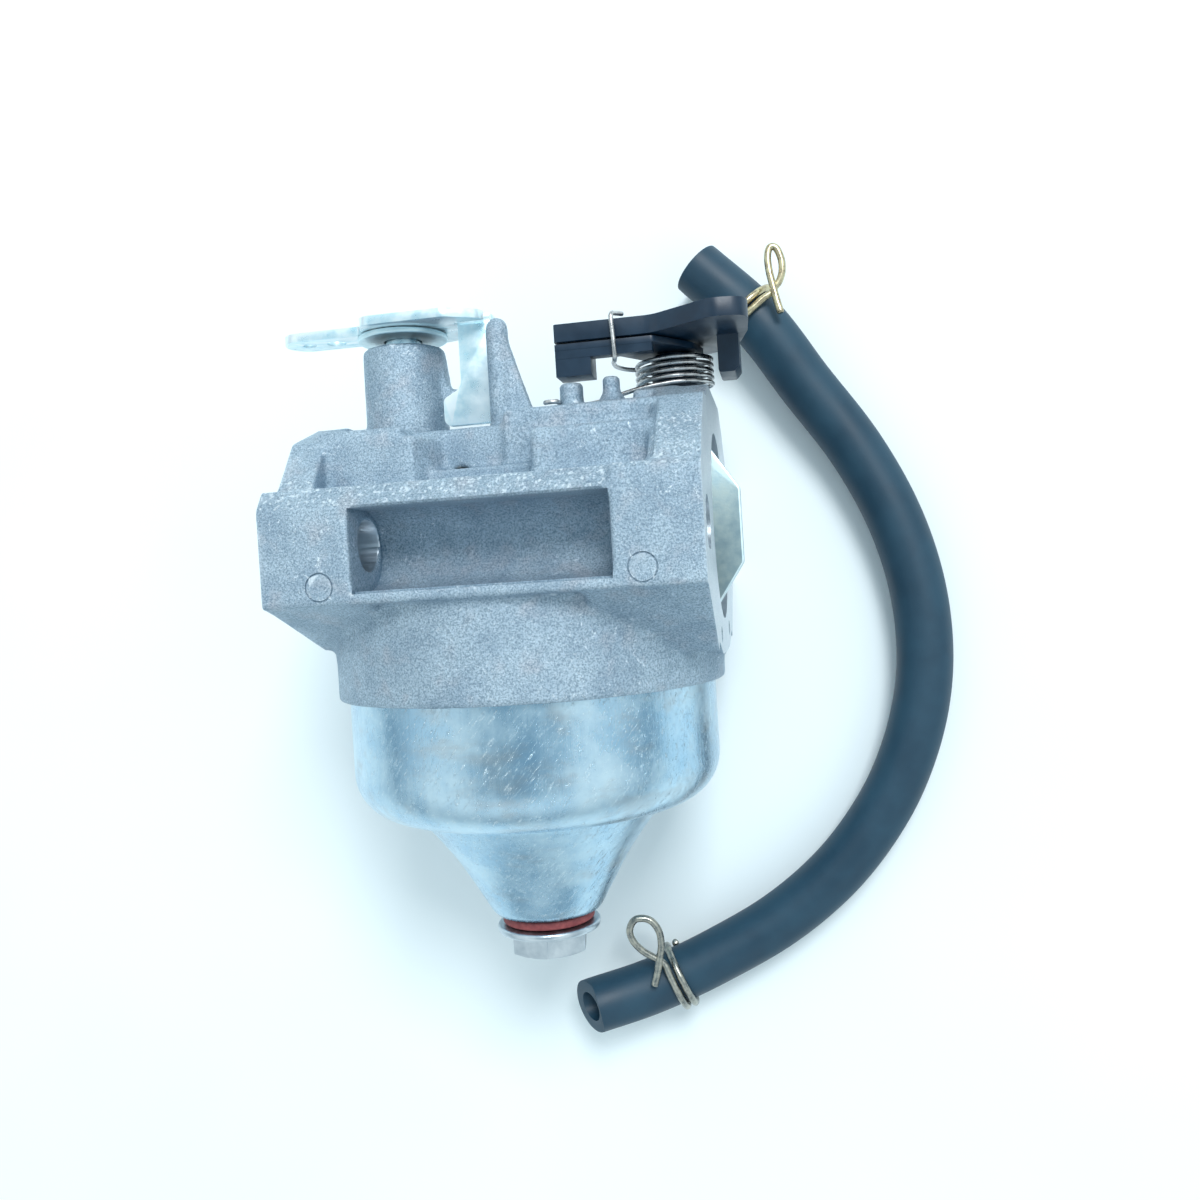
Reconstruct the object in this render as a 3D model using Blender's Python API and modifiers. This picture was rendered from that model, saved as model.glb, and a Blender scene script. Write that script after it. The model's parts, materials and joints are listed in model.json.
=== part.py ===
"""Float carburetor of a small garden engine, lying on its back beside its loose fuel hose.

Every piece is drawn in the carburetor's own working position: x along the bore from the engine
side to the air side, y from front to back, z up towards the levers, zero where the throttle and
choke shafts' plane meets the bore's axis. The empty "carburetor" then lays the whole assembly on
its back, so that world +Z points out of its front face and the floor is at world z = 0.
"""

import math

import bmesh
import bpy
from mathutils import Matrix, Vector

MM = 0.001  # one millimetre in metres; every size below is in millimetres
GAP = 0.3  # clearance between touching pieces

# Driving dimensions of the casting
ENGINE_FACE_X = -26.0
AIR_FACE_X = 27.4
FRONT_Y = -28.0
BACK_Y = 27.0
BLOCK_LOW_Z = -7.6
BLOCK_TOP_Z = 6.7
STUD_Y = 21.5
STUD_Z = -0.4
STUD_RADIUS = 3.2
THROTTLE_BORE_RADIUS = 9.0
THROAT_RADIUS = 6.8
AIR_BORE_RADIUS = 12.6
SKIRT_RADIUS = 26.9
SKIRT_LOW_Z = -20.6
SOCKET_RADIUS = 25.8
CHAMBER_RADIUS = 23.6
CHAMBER_ROOF_Z = -15.8
DECK_Z = 16.4
LOW_DECK_Z = 14.6
HUB_DECK_Z = 18.3
BOSS_TOP_Z = 28.2
COLUMN_LOW_Z = -51.0
SEAT_Y = 11.5
PILOT_JET = (-4.8, 8.0)  # x and z of the pilot jet in the front wall
INLET_ANGLE = 130.0  # degrees round the bowl axis, where the fuel inlet leaves the skirt
INLET_Z = -12.6

# Shafts, plates and levers
THROTTLE_X = -16.2
THROTTLE_SHAFT_RADIUS = 2.45
THROTTLE_PLATE_RADIUS = 8.6
CHOKE_X = 22.5
CHOKE_SHAFT_RADIUS = 2.2
CHOKE_PLATE_RADIUS = 12.1
CHOKE_FLAT = 8.0
LEVER_STEEL = 1.2

# Bowl, float and bolt
BOWL_RADIUS = 25.5
BOWL_WALL = 0.8
BOWL_RIM_Z = -18.8
BOWL_FLOOR_Z = -52.2
BOLT_HEX = 10.0
FLOAT_PIN_Y = 16.0
FLOAT_PIN_Z = -18.6

# Hose and its two spring clips
HOSE_RADIUS = 4.2
HOSE_STEP = 2.0  # diameters between the tube's points
CLIP_WIRE_RADIUS = 0.6
CLIP_RADIUS = 5.25

# Where the assembly stands in the world: half-way along its length and its height, on its back
CENTRE_X = -0.25
CENTRE_Z = -12.7

# Turns that lay a profile's height along an axis
AXIS_TURNS = {
    "Z": (0, 0, 0),
    "X": (0, math.pi / 2, 0),
    "-X": (0, -math.pi / 2, 0),
    "-Y": (math.pi / 2, 0, 0),
}

parts = None
tools = None


# ---------------------------------------------------------------- scene and materials

def clear_scene():
    """Start from an empty scene with one collection for the parts and one for the cutters."""
    global parts, tools
    for old in list(bpy.data.objects):
        bpy.data.objects.remove(old, do_unlink=True)
    parts = bpy.data.collections.new("carburetor")
    tools = bpy.data.collections.new("cutters")
    for collection in (parts, tools):
        bpy.context.scene.collection.children.link(collection)


def material(name, colour, metallic, roughness):
    """A Principled material with one colour."""
    made = bpy.data.materials.new(name)
    made.use_nodes = True
    shader = made.node_tree.nodes["Principled BSDF"]
    shader.inputs["Base Color"].default_value = (*colour, 1.0)
    shader.inputs["Metallic"].default_value = metallic
    shader.inputs["Roughness"].default_value = roughness
    return made


def make_materials():
    """The materials by name."""
    return {
        "casting": material("cast_aluminium", (0.50, 0.55, 0.58), 0.9, 0.55),
        "zinc": material("zinc_plate", (0.68, 0.76, 0.80), 1.0, 0.28),
        "steel": material("bright_steel", (0.58, 0.60, 0.62), 1.0, 0.25),
        "spring": material("spring_wire", (0.50, 0.50, 0.50), 1.0, 0.30),
        "chromate": material("yellow_chromate", (0.62, 0.55, 0.34), 1.0, 0.35),
        "brass": material("brass", (0.72, 0.56, 0.28), 1.0, 0.30),
        "plastic": material("black_plastic", (0.02, 0.025, 0.03), 0.0, 0.45),
        "float": material("float_plastic", (0.05, 0.05, 0.05), 0.0, 0.5),
        "rubber": material("hose_rubber", (0.02, 0.022, 0.025), 0.0, 0.6),
        "seal": material("seal_rubber", (0.03, 0.03, 0.03), 0.0, 0.65),
        "fibre": material("fibre", (0.45, 0.12, 0.08), 0.0, 0.8),
    }


# ---------------------------------------------------------------- building blocks

def new_object(name, data, parent, tool=False):
    """Put data in the scene as a part, or as a tool that only shapes parts."""
    made = bpy.data.objects.new(name, data)
    (tools if tool else parts).objects.link(made)
    made.parent = parent
    if tool:
        made.hide_render = True
        made.display_type = "WIRE"
    return made


def empty(name, place, parent=None):
    """An empty at a place in millimetres."""
    made = bpy.data.objects.new(name, None)
    parts.objects.link(made)
    made.parent = parent
    made.location = Vector(place) * MM
    return made


def box(name, low, high, parent, tool=True, round_edges=0.0):
    """A box between two corners, with its edges rounded by round_edges."""
    shape = bmesh.new()
    middle = (Vector(low) + Vector(high)) / 2 * MM
    size = (Vector(high) - Vector(low)) * MM
    place = Matrix.Translation(middle) @ Matrix.Diagonal((*size, 1.0))
    bmesh.ops.create_cube(shape, size=1.0, matrix=place)
    made = new_object(name, mesh_of(name, shape), parent, tool)
    if round_edges:
        rounded(made, round_edges)
    return made


def rod(name, start, end, radius, parent, tool=True, radius_end=None, sides=24):
    """A round rod, or a cone when radius_end differs, between two points."""
    start, end = Vector(start) * MM, Vector(end) * MM
    along = end - start
    turn = along.to_track_quat("Z", "Y").to_matrix().to_4x4()
    place = Matrix.Translation((start + end) / 2) @ turn
    shape = bmesh.new()
    bmesh.ops.create_cone(
        shape,
        cap_ends=True,
        segments=sides,
        radius1=radius * MM,
        radius2=(radius if radius_end is None else radius_end) * MM,
        depth=along.length,
        matrix=place,
    )
    return new_object(name, mesh_of(name, shape), parent, tool)


def turned(name, profile, parent, tool=True, axis="Z", centre=(0, 0, 0), sides=32, closed=False):
    """A profile of (radius, height) points turned round an axis.

    The profile runs down its outer side. A closed one, for a ring or tube, comes back up its
    inner side.
    """
    shape = bmesh.new()
    corners = [shape.verts.new((radius * MM, 0, height * MM)) for radius, height in profile]
    for first, second in zip(corners, corners[1:]):
        shape.edges.new((first, second))
    if closed:
        shape.edges.new((corners[-1], corners[0]))
    made = new_object(name, mesh_of(name, shape), parent, tool)
    made.location = Vector(centre) * MM
    made.rotation_euler = AXIS_TURNS[axis]
    screw = made.modifiers.new("turn", "SCREW")
    screw.steps = sides
    screw.render_steps = sides
    screw.use_merge_vertices = True
    screw.merge_threshold = 0.00001
    screw.use_smooth_shade = False
    return made


def outline(name, points, low, high, parent, tool=True, plane="XY"):
    """A flat outline in a plane, as thick as from low to high along the plane's normal."""
    curve = bpy.data.curves.new(name, "CURVE")
    curve.dimensions = "2D"
    curve.fill_mode = "BOTH"
    curve.extrude = (high - low) / 2 * MM
    spline = curve.splines.new("POLY")
    spline.points.add(len(points) - 1)
    for corner, (across, up) in zip(spline.points, points):
        corner.co = (across * MM, up * MM, 0, 1)
    spline.use_cyclic_u = True
    middle = (high + low) / 2 * MM
    turn = {
        "XY": Matrix.Identity(4),
        "XZ": Matrix.Rotation(math.pi / 2, 4, "X"),
        "YZ": Matrix.Rotation(math.pi / 2, 4, "Z") @ Matrix.Rotation(math.pi / 2, 4, "X"),
    }[plane]
    shift = {"XY": (0, 0, middle), "XZ": (0, middle, 0), "YZ": (middle, 0, 0)}[plane]
    made = solid_from_curve(name, curve, parent, tool)
    made.data.transform(Matrix.Translation(shift) @ turn)
    return made


def wire(name, points, radius, parent, tool=False, resolution=2):
    """A round wire through points, with closed ends."""
    curve = bpy.data.curves.new(name, "CURVE")
    curve.dimensions = "3D"
    curve.bevel_depth = radius * MM
    curve.bevel_resolution = resolution
    curve.use_fill_caps = True
    spline = curve.splines.new("POLY")
    spline.points.add(len(points) - 1)
    for corner, place in zip(spline.points, points):
        corner.co = (*(Vector(place) * MM), 1)
    return new_object(name, curve, parent, tool)


def solid_from_curve(name, curve, parent, tool):
    """The closed mesh that a curve evaluates to."""
    source = bpy.data.objects.new(name + "_curve", curve)
    tools.objects.link(source)
    graph = bpy.context.evaluated_depsgraph_get()
    mesh = bpy.data.meshes.new_from_object(source.evaluated_get(graph))
    bpy.data.objects.remove(source, do_unlink=True)
    shape = bmesh.new()
    shape.from_mesh(mesh)
    bmesh.ops.remove_doubles(shape, verts=shape.verts, dist=0.00001)
    bmesh.ops.recalc_face_normals(shape, faces=shape.faces)
    shape.to_mesh(mesh)
    shape.free()
    return new_object(name, mesh, parent, tool)


def mesh_of(name, shape):
    """Turn a bmesh into a mesh and free it."""
    mesh = bpy.data.meshes.new(name)
    shape.to_mesh(mesh)
    shape.free()
    return mesh


def rounded(made, width, segments=2):
    """Round an object's sharp edges."""
    bevel = made.modifiers.new("round", "BEVEL")
    bevel.width = width * MM
    bevel.segments = segments
    bevel.limit_method = "ANGLE"
    bevel.angle_limit = math.radians(40)


def combine(target, tool, operation):
    """Join a tool to a target, or cut it away, or keep only what they share."""
    modifier = target.modifiers.new(tool.name, "BOOLEAN")
    modifier.operation = operation
    modifier.solver = "EXACT"
    modifier.object = tool


def join(target, *added):
    for tool in added:
        combine(target, tool, "UNION")


def cut(target, *removed):
    for tool in removed:
        combine(target, tool, "DIFFERENCE")


def finish(made, look):
    """Give a piece its material and smooth round faces."""
    made.data.materials.clear()
    made.data.materials.append(look)
    if made.type == "MESH":
        made.data.shade_smooth()
        made.data.set_sharp_from_angle(angle=math.radians(35))
    return made


def arc(centre, radius, start, end, count):
    """Points on an arc, angles in degrees."""
    step = (end - start) / (count - 1)
    angles = [math.radians(start + step * i) for i in range(count)]
    return [(centre[0] + radius * math.cos(a), centre[1] + radius * math.sin(a)) for a in angles]


# ---------------------------------------------------------------- casting

def flange_outline(front_top, shoulder, top_z, back_top, low_z):
    """Outline of a flange in (y, z): stud lugs front and back, a hump over the bore."""
    front, back, low = FRONT_Y + 0.4, BACK_Y - 0.4, BLOCK_LOW_Z + 0.4
    return [
        (front, low),
        (-14.0, low_z + 2.0),
        (-8.0, low_z),
        (8.0, low_z),
        (14.0, low_z + 2.0),
        (back, low),
        (back, back_top),
        (20.0, shoulder),
        (13.0, top_z),
        (-8.5, top_z),
        (-17.0, shoulder),
        (-24.5, front_top + 3.0),
        (front, front_top),
    ]


def stud_block(name, side, parent):
    """The long block for one stud, front (side -1) or back (side 1), with its window."""
    face = FRONT_Y if side < 0 else BACK_Y
    profile = [
        (face, BLOCK_LOW_Z),
        (face, 4.2),
        (face - side * 1.8, BLOCK_TOP_Z),
        (side * 12.2, BLOCK_TOP_Z),
        (side * 12.2, BLOCK_LOW_Z),
    ]
    block = outline(name, profile, ENGINE_FACE_X - 0.5, AIR_FACE_X + 0.5, parent, plane="YZ")
    trough_y, trough_z, trough_radius = 22.4, -1.1, 4.9
    curve = arc((trough_y, trough_z), trough_radius, 90, 270, 13)
    window = [(30.0, trough_z + trough_radius), *curve, (30.0, trough_z - trough_radius)]
    mirrored = [(side * y, z) for y, z in window]
    cut(block, outline(name + "_window", mirrored, -14.6, 16.7, parent, plane="YZ"))
    return block


def skirt(parent):
    """The drum over the bowl, sloped down at both sides from the stud blocks."""
    profile = [(0, -7.0), (SKIRT_RADIUS, -7.0), (SKIRT_RADIUS, SKIRT_LOW_Z), (0, SKIRT_LOW_Z)]
    drum = turned("skirt", profile, parent, sides=64)
    trough = [(-25.0, -5.0), (-25.0, -7.4), (-4.0, -15.9), (4.0, -15.9), (25.0, -7.4), (25.0, -5.0)]
    cut(drum, outline("saddle", trough, -30.0, 30.0, parent, plane="YZ"))
    return drum


def deck_features(parent):
    """Posts, pins and stops that stand on the deck under the two levers."""
    post = [(0, 29.4), (0.8, 29.2), (1.3, 28.7), (1.5, 27.9), (1.6, 6.0), (0, 6.0)]
    gusset = [(-0.4, 6.4), (4.2, 6.4), (4.2, DECK_Z + 0.6), (0.9, 27.6), (-0.4, 27.6)]
    nib = [(-12.0, 27.4), (-10.3, 27.4), (-9.6, 22.0), (-7.2, 22.0), (-7.5, 20.9), (-9.4, 20.4), (-12.0, 15.6)]
    return [
        turned("post", post, parent, centre=(-0.1, -8.4, 0), sides=16),
        outline("post_gusset", gusset, -9.0, -7.7, parent, plane="XZ"),
        outline("boss_nib", nib, -1.2, 1.2, parent, plane="XZ"),
        rod("choke_stop", (9.6, -8.6, 12.0), (9.6, -8.6, 19.7), 1.6, parent, sides=16),
        rod("pin_base", (15.1, -9.6, 12.2), (15.1, -9.6, 17.3), 1.6, parent, sides=16),
        rod("deck_pin", (15.1, -9.6, 12.4), (15.1, -9.6, 19.9), 1.15, parent, sides=16),
    ]


def casting_masses(parent):
    """Everything that is joined to the barrel."""
    engine = flange_outline(1.0, 13.6, 16.6, 2.0, -16.4)
    air = flange_outline(4.0, 13.4, 18.0, 4.0, -17.0)
    return [
        outline("engine_flange", engine, ENGINE_FACE_X - 1, -21.6, parent, plane="YZ"),
        outline("air_flange", air, 20.8, AIR_FACE_X + 1, parent, plane="YZ"),
        box("core", (-22.0, -15.0, -15.3), (22.0, 15.0, 9.0), parent),
        stud_block("front_block", -1, parent),
        stud_block("back_block", 1, parent),
        skirt(parent),
        box("upper_body", (-10.6, -12.6, 4.6), (1.6, 12.0, LOW_DECK_Z), parent),
        box("choke_deck", (1.2, -13.2, 5.2), (22.4, 12.6, DECK_Z), parent),
        box("hub_land", (17.6, -8.2, 10.0), (23.4, 11.0, HUB_DECK_Z), parent),
        box("front_pad", (5.8, -19.0, 5.8), (21.4, -11.0, 12.9), parent, round_edges=0.8),
        box("pilot_boss", (-23.0, -17.2, 6.2), (-11.6, -6.8, 14.9), parent, round_edges=1.6),
        rod("throttle_boss", (THROTTLE_X, 0, 4.0), (THROTTLE_X, 0, BOSS_TOP_Z), 6.0, parent,
            radius_end=5.75, sides=40),
        rod("mixture_boss", (-6.5, 9.0, 9.5), (-6.5, 15.6, 9.5), 3.4, parent),
        *deck_features(parent),
    ]


def bore(parent):
    """The air passage: throttle bore, throat and wide air inlet, drawn from the air side."""
    profile = [
        (0, AIR_FACE_X + 2),
        (AIR_BORE_RADIUS, AIR_FACE_X + 2),
        (AIR_BORE_RADIUS, 10.0),
        (11.6, 7.6),
        (9.0, 5.0),
        (7.3, 2.0),
        (THROAT_RADIUS, -0.5),
        (7.2, -3.0),
        (THROTTLE_BORE_RADIUS, -7.0),
        (THROTTLE_BORE_RADIUS, ENGINE_FACE_X - 2),
        (0, ENGINE_FACE_X - 2),
    ]
    return turned("bore", profile, parent, axis="X", sides=40)


def machined_faces(parent):
    """Cuts that leave both flange faces flat, and the stud holes and shaft bores."""
    shaft = THROTTLE_SHAFT_RADIUS + GAP
    return [
        box("engine_facing", (ENGINE_FACE_X - 3, -31, -31), (ENGINE_FACE_X, 31, 31), parent),
        box("air_facing", (AIR_FACE_X, -31, -31), (AIR_FACE_X + 3, 31, 31), parent),
        rod("front_stud_hole", (-30, -STUD_Y, STUD_Z), (30, -STUD_Y, STUD_Z), STUD_RADIUS, parent),
        rod("back_stud_hole", (-30, STUD_Y, STUD_Z), (30, STUD_Y, STUD_Z), STUD_RADIUS, parent),
        rod("throttle_hole", (THROTTLE_X, 0, -12.6), (THROTTLE_X, 0, 30), shaft, parent),
        rod("seal_seat", (THROTTLE_X, 0, 26.2), (THROTTLE_X, 0, 31), 4.2, parent),
        rod("choke_hole", (CHOKE_X, 0, -14.5), (CHOKE_X, 0, 20), CHOKE_SHAFT_RADIUS + GAP, parent, sides=20),
    ]


def float_chamber(parent):
    """The space over the float, with a shelf for the bowl's gasket and rim."""
    profile = [
        (0, CHAMBER_ROOF_Z),
        (CHAMBER_RADIUS, CHAMBER_ROOF_Z),
        (CHAMBER_RADIUS, -17.0),
        (SOCKET_RADIUS, -17.0),
        (SOCKET_RADIUS, SKIRT_LOW_Z - 1),
        (0, SKIRT_LOW_Z - 1),
    ]
    return turned("chamber", profile, parent, sides=64)


def chamber_fittings(parent):
    """What hangs from the chamber's roof: the jet column and two lugs for the float pin."""
    column = [(0, -14.2), (7.2, -14.2), (6.6, -30), (5.9, COLUMN_LOW_Z), (0, COLUMN_LOW_Z)]
    lugs = [
        box("pin_lug", (side * 5.7 - 1.1, 14.4, -20.4), (side * 5.7 + 1.1, 17.6, -14.6), parent)
        for side in (-1, 1)
    ]
    return [turned("column", column, parent, sides=24), *lugs]


def passages(parent):
    """Drilled passages and seats."""
    jet_x, jet_z = PILOT_JET
    return [
        rod("nozzle_bore", (0, 0, COLUMN_LOW_Z - 1), (0, 0, -4.0), 2.9, parent, sides=20),
        rod("bolt_thread", (0, 0, COLUMN_LOW_Z - 1), (0, 0, -43.5), 3.4, parent, sides=20),
        rod("seat_bore", (0, SEAT_Y, -17.5), (0, SEAT_Y, -9.9), 2.5, parent, sides=20),
        rod("inlet_bore", inlet_point(22.0), inlet_point(29.0), 2.5, parent, sides=20),
        rod("inlet_passage", (0, SEAT_Y, INLET_Z), inlet_point(22.6), 1.1, parent, sides=12),
        rod("pilot_jet_bore", (jet_x, -14.0, jet_z), (jet_x, -6.0, jet_z), 1.45, parent, sides=16),
        rod("pin_bore", (-9, FLOAT_PIN_Y, FLOAT_PIN_Z), (9, FLOAT_PIN_Y, FLOAT_PIN_Z), 1.0, parent, sides=12),
        rod("mixture_bore", (-6.5, 1.0, 9.5), (-6.5, 17.0, 9.5), 1.5, parent, sides=16),
        rod("plug_seat", (-5.0, 4.2, LOW_DECK_Z - 1.1), (-5.0, 4.2, LOW_DECK_Z + 1), 3.6, parent),
        *[rod("bleed_bore", (AIR_FACE_X - 5, y, -14.4), (AIR_FACE_X + 1, y, -14.4), 1.2, parent, sides=12)
          for y in (-8.6, 8.6)],
    ]


def inlet_point(radius):
    """A point on the fuel inlet's axis, at a radius from the bowl's axis."""
    angle = math.radians(INLET_ANGLE)
    return (radius * math.cos(angle), radius * math.sin(angle), INLET_Z)


def carb_body(parent, look):
    """The one die-cast body: masses joined to the barrel, then bores and passages cut."""
    low, high = ENGINE_FACE_X - 0.7, AIR_FACE_X + 0.7
    profile = [(0, high), (15.2, high), (15.2, 8.0), (11.8, -6.0), (11.8, low), (0, low)]
    body = turned("carb_body", profile, parent, tool=False, axis="X", sides=48)
    join(body, *casting_masses(parent))
    cut(body, float_chamber(parent))
    join(body, *chamber_fittings(parent))
    cut(body, bore(parent), *machined_faces(parent), *passages(parent))
    return finish(body, look)


# ---------------------------------------------------------------- throttle

def throttle_shaft(axis, look):
    """Shaft with a flat for the plate and a riveted head over the lever."""
    radius = THROTTLE_SHAFT_RADIUS
    profile = [(0, 32.6), (2.4, 32.5), (3.3, 31.9), (radius, 31.9), (radius, -12.2), (0, -12.2)]
    shaft = turned("throttle_shaft", profile, axis, tool=False, sides=24)
    cut(shaft, box("shaft_flat", (-4, -4, -9.4), (0.15, 4, 9.4), axis))
    for z in (-4.2, 4.2):
        cut(shaft, rod("screw_hole", (-4, 0, z), (4, 0, z), 1.4, axis, sides=12))
    return finish(shaft, look)


def throttle_plate(axis, look):
    """Butterfly disc that closes the engine-side bore."""
    plate = rod("throttle_plate", (-1.15, 0, 0), (-0.15, 0, 0), THROTTLE_PLATE_RADIUS, axis,
                tool=False, sides=48)
    for z in (-4.2, 4.2):
        cut(plate, rod("plate_hole", (-3, 0, z), (3, 0, z), 1.4, axis, sides=12))
    return finish(plate, look)


def throttle_screw(name, z, axis, look):
    """A screw that holds the plate on the shaft's flat."""
    profile = [(0, 2.5), (1.4, 2.5), (1.9, 2.0), (1.9, 1.45), (1.1, 1.45), (1.1, -2.0), (0, -2.0)]
    screw = turned(name, profile, axis, tool=False, axis="-X", centre=(0, 0, z), sides=16)
    return finish(screw, look)


def throttle_lever(axis, look):
    """Stamped lever: a tongue with two holes, and a tab folded down beside the boss."""
    tongue = arc((-14.4, 0), 3.3, 270, 90, 9)
    shape = [
        *tongue,
        (-5.4, 3.3), (-2.0, 6.2), (4.0, 6.6), (10.0, 4.6), (13.9, 0.5),
        (13.9, -3.6), (12.0, -6.4), (8.4, -8.3), (-2.6, -8.3), (-4.8, -3.3),
    ]
    lever = outline("throttle_lever", shape, 30.4, 30.4 + LEVER_STEEL, axis, tool=False)
    tab = [
        (9.3, 31.0), (9.3, 22.2), (8.7, 21.0), (7.0, 20.4), (6.6, 19.8), (6.6, 17.0), (7.2, 16.4),
        (13.3, 16.4), (13.9, 17.0), (13.9, 31.0),
    ]
    join(lever, outline("tab", tab, -3.6 + 0.05, -3.6 + LEVER_STEEL, axis, plane="XZ"))
    holes = ((-14.3, 0.0, 0.9), (-10.2, 0.2, 1.35), (0.0, 0.0, THROTTLE_SHAFT_RADIUS + GAP))
    for x, y, radius in holes:
        cut(lever, rod("lever_hole", (x, y, 29), (x, y, 33), radius, axis, sides=20))
    return finish(lever, look)


def ring(name, inner, outer, low, high, parent, look, sides=32, centre=(0, 0, 0)):
    """A flat ring round the z axis, or round a line beside it."""
    profile = [(outer, high), (outer, low), (inner, low), (inner, high)]
    made = turned(name, profile, parent, tool=False, centre=centre, sides=sides, closed=True)
    return finish(made, look)


def throttle(root, looks):
    """Everything that turns with the throttle shaft."""
    axis = empty("throttle_axis", (THROTTLE_X, 0, 0), root)
    bore_radius = THROTTLE_SHAFT_RADIUS + GAP
    throttle_shaft(axis, looks["steel"])
    throttle_plate(axis, looks["brass"])
    throttle_screw("throttle_screw_upper", 4.2, axis, looks["steel"])
    throttle_screw("throttle_screw_lower", -4.2, axis, looks["steel"])
    throttle_lever(axis, looks["zinc"])
    ring("throttle_collar", bore_radius, 6.6, 28.9, 30.0, axis, looks["zinc"], sides=40)
    ring("throttle_seal", bore_radius, 3.9, 26.5, 27.9, axis, looks["seal"], sides=24)


# ---------------------------------------------------------------- choke

def choke_shaft(axis, look):
    """Shaft slotted for the choke plate."""
    shaft = rod("choke_shaft", (0, 0, -14.1), (0, 0, 27.0), CHOKE_SHAFT_RADIUS, axis, tool=False)
    cut(shaft, box("plate_slot", (-4, -0.7, -12.5), (4, 0.7, 12.5), axis))
    return finish(shaft, look)


def choke_plate(axis, look):
    """Choke disc with its air-side edge cut flat; it stands along the bore when open."""
    disc = arc((0, 0), CHOKE_PLATE_RADIUS, 72, 288, 29)
    shape = [*disc, (CHOKE_FLAT, -5.1), (CHOKE_FLAT, 5.1)]
    return finish(outline("choke_plate", shape, -0.4, 0.4, axis, tool=False, plane="XZ"), look)


def choke_lever(axis, look):
    """Moulded lever: a long arm to the left, a short rounded arm, and a stop lug."""
    shape = [
        (-14.6, -10.2), (-1.6, -10.2), (4.6, -13.9), *arc((8.2, -12.4), 2.7, 240, 360, 6),
        (10.2, -6.0), (9.2, 0.6), (7.2, 4.0), (3.4, 6.8), (-1.2, 7.0), (-4.8, 5.4), (-6.8, 2.0),
        (-7.6, -3.2), (-9.0, -5.4), (-14.6, -5.4),
    ]
    lever = outline("choke_lever", shape, 24.9, 27.2, axis, tool=False)
    join(lever, box("stop_lug", (6.3, -5.0, 20.0), (9.1, 1.6, 25.2), axis, round_edges=0.6))
    cut(lever, rod("hub_hole", (0, 0, 24), (0, 0, 28), CHOKE_SHAFT_RADIUS + GAP, axis, sides=20))
    return finish(lever, look)


def choke_relief_arm(axis, look):
    """Lower moulding: a block on the deck's stop, a front rim, and an eye on the shaft."""
    eye = arc((0, 0), 4.2, -60, 140, 9)
    shape = [(-14.6, -10.0), (-1.6, -10.0), *eye, (-9.0, -5.6), (-14.6, -5.6)]
    arm = outline("choke_relief_arm", shape, 23.8, 24.6, axis, tool=False)
    join(
        arm,
        box("front_rim", (-14.5, -9.95, 22.7), (-1.8, -8.0, 24.5), axis),
        box("end_block", (-14.55, -9.9, 20.4), (-9.9, -5.7, 24.4), axis),
    )
    cut(arm, rod("eye_hole", (0, 0, 22), (0, 0, 26), CHOKE_SHAFT_RADIUS + GAP, axis, sides=20))
    return finish(arm, look)


def choke_spring(axis, look):
    """Torsion spring: legs hooked round the deck stop and over the lever's arm."""
    coil_radius, low, pitch, turns, steps = 5.1, 19.05, 0.9, 4.5, 12
    start = math.radians(270)
    lower_leg = [
        (-16.0, -10.6, 17.1), (-15.9, -8.6, 17.1), (-15.0, -7.0, 17.1), (-13.4, -6.1, 17.1),
        (-10.0, -5.8, 17.3), (-5.0, -5.4, 19.0),
    ]
    coil = []
    for step in range(int(turns * steps) + 1):
        angle = start + 2 * math.pi * step / steps
        height = low + pitch * step / steps
        coil.append((coil_radius * math.cos(angle), coil_radius * math.sin(angle), height))
    upper_leg = [
        (-4.6, 5.3, 22.9), (-7.6, 1.0, 22.6), (-7.4, -5.0, 22.0), (-6.6, -10.2, 21.9), (-6.5, -10.9, 22.5),
        (-6.6, -10.9, 27.6), (-6.4, -10.4, 28.0), (-6.0, -9.2, 28.0),
    ]
    return finish(wire("choke_spring", [*lower_leg, *coil, *upper_leg], 0.36, axis), look)


def choke(root, looks):
    """Everything on the choke shaft."""
    axis = empty("choke_axis", (CHOKE_X, 0, 0), root)
    choke_shaft(axis, looks["plastic"])
    choke_plate(axis, looks["zinc"])
    choke_lever(axis, looks["plastic"])
    choke_relief_arm(axis, looks["plastic"])
    choke_spring(axis, looks["spring"])


# ---------------------------------------------------------------- float chamber

def float_bowl(root, look):
    """Pressed steel bowl, one closed wall from rim to bolt hole."""
    outer = [
        (BOWL_RADIUS, BOWL_RIM_Z), (BOWL_RADIUS, -31.5), (24.7, -34.6), (22.6, -36.7), (19.2, -38.1),
        (16.0, -39.4), (12.0, -44.6), (9.3, -48.8), (7.6, BOWL_FLOOR_Z),
    ]
    inner = [
        (BOWL_RADIUS - BOWL_WALL, BOWL_RIM_Z), (BOWL_RADIUS - BOWL_WALL, -31.4), (23.4, -34.8),
        (20.6, -36.7), (15.4, -38.8), (9.2, -47.3), (6.9, BOWL_FLOOR_Z + BOWL_WALL),
    ]
    profile = [*outer, (3.7, BOWL_FLOOR_Z), (3.7, BOWL_FLOOR_Z + BOWL_WALL), *reversed(inner)]
    return finish(turned("float_bowl", profile, root, tool=False, sides=48, closed=True), look)


def bowl_bolt(root, look):
    """Flanged hexagon bolt that holds the bowl to the column."""
    top = BOWL_FLOOR_Z - 1.7
    profile = [(0, -44.2), (3.0, -44.2), (3.0, top), (7.3, top), (7.3, top - 0.9), (0, top - 0.9)]
    bolt = turned("bowl_bolt", profile, root, tool=False, sides=32)
    corner = BOLT_HEX / math.sqrt(3)
    hexagon = arc((0, 0), corner, -81, 219, 6)
    join(bolt, outline("hexagon", hexagon, top - 4.1, top - 0.5, root))
    return finish(bolt, look)


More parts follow.
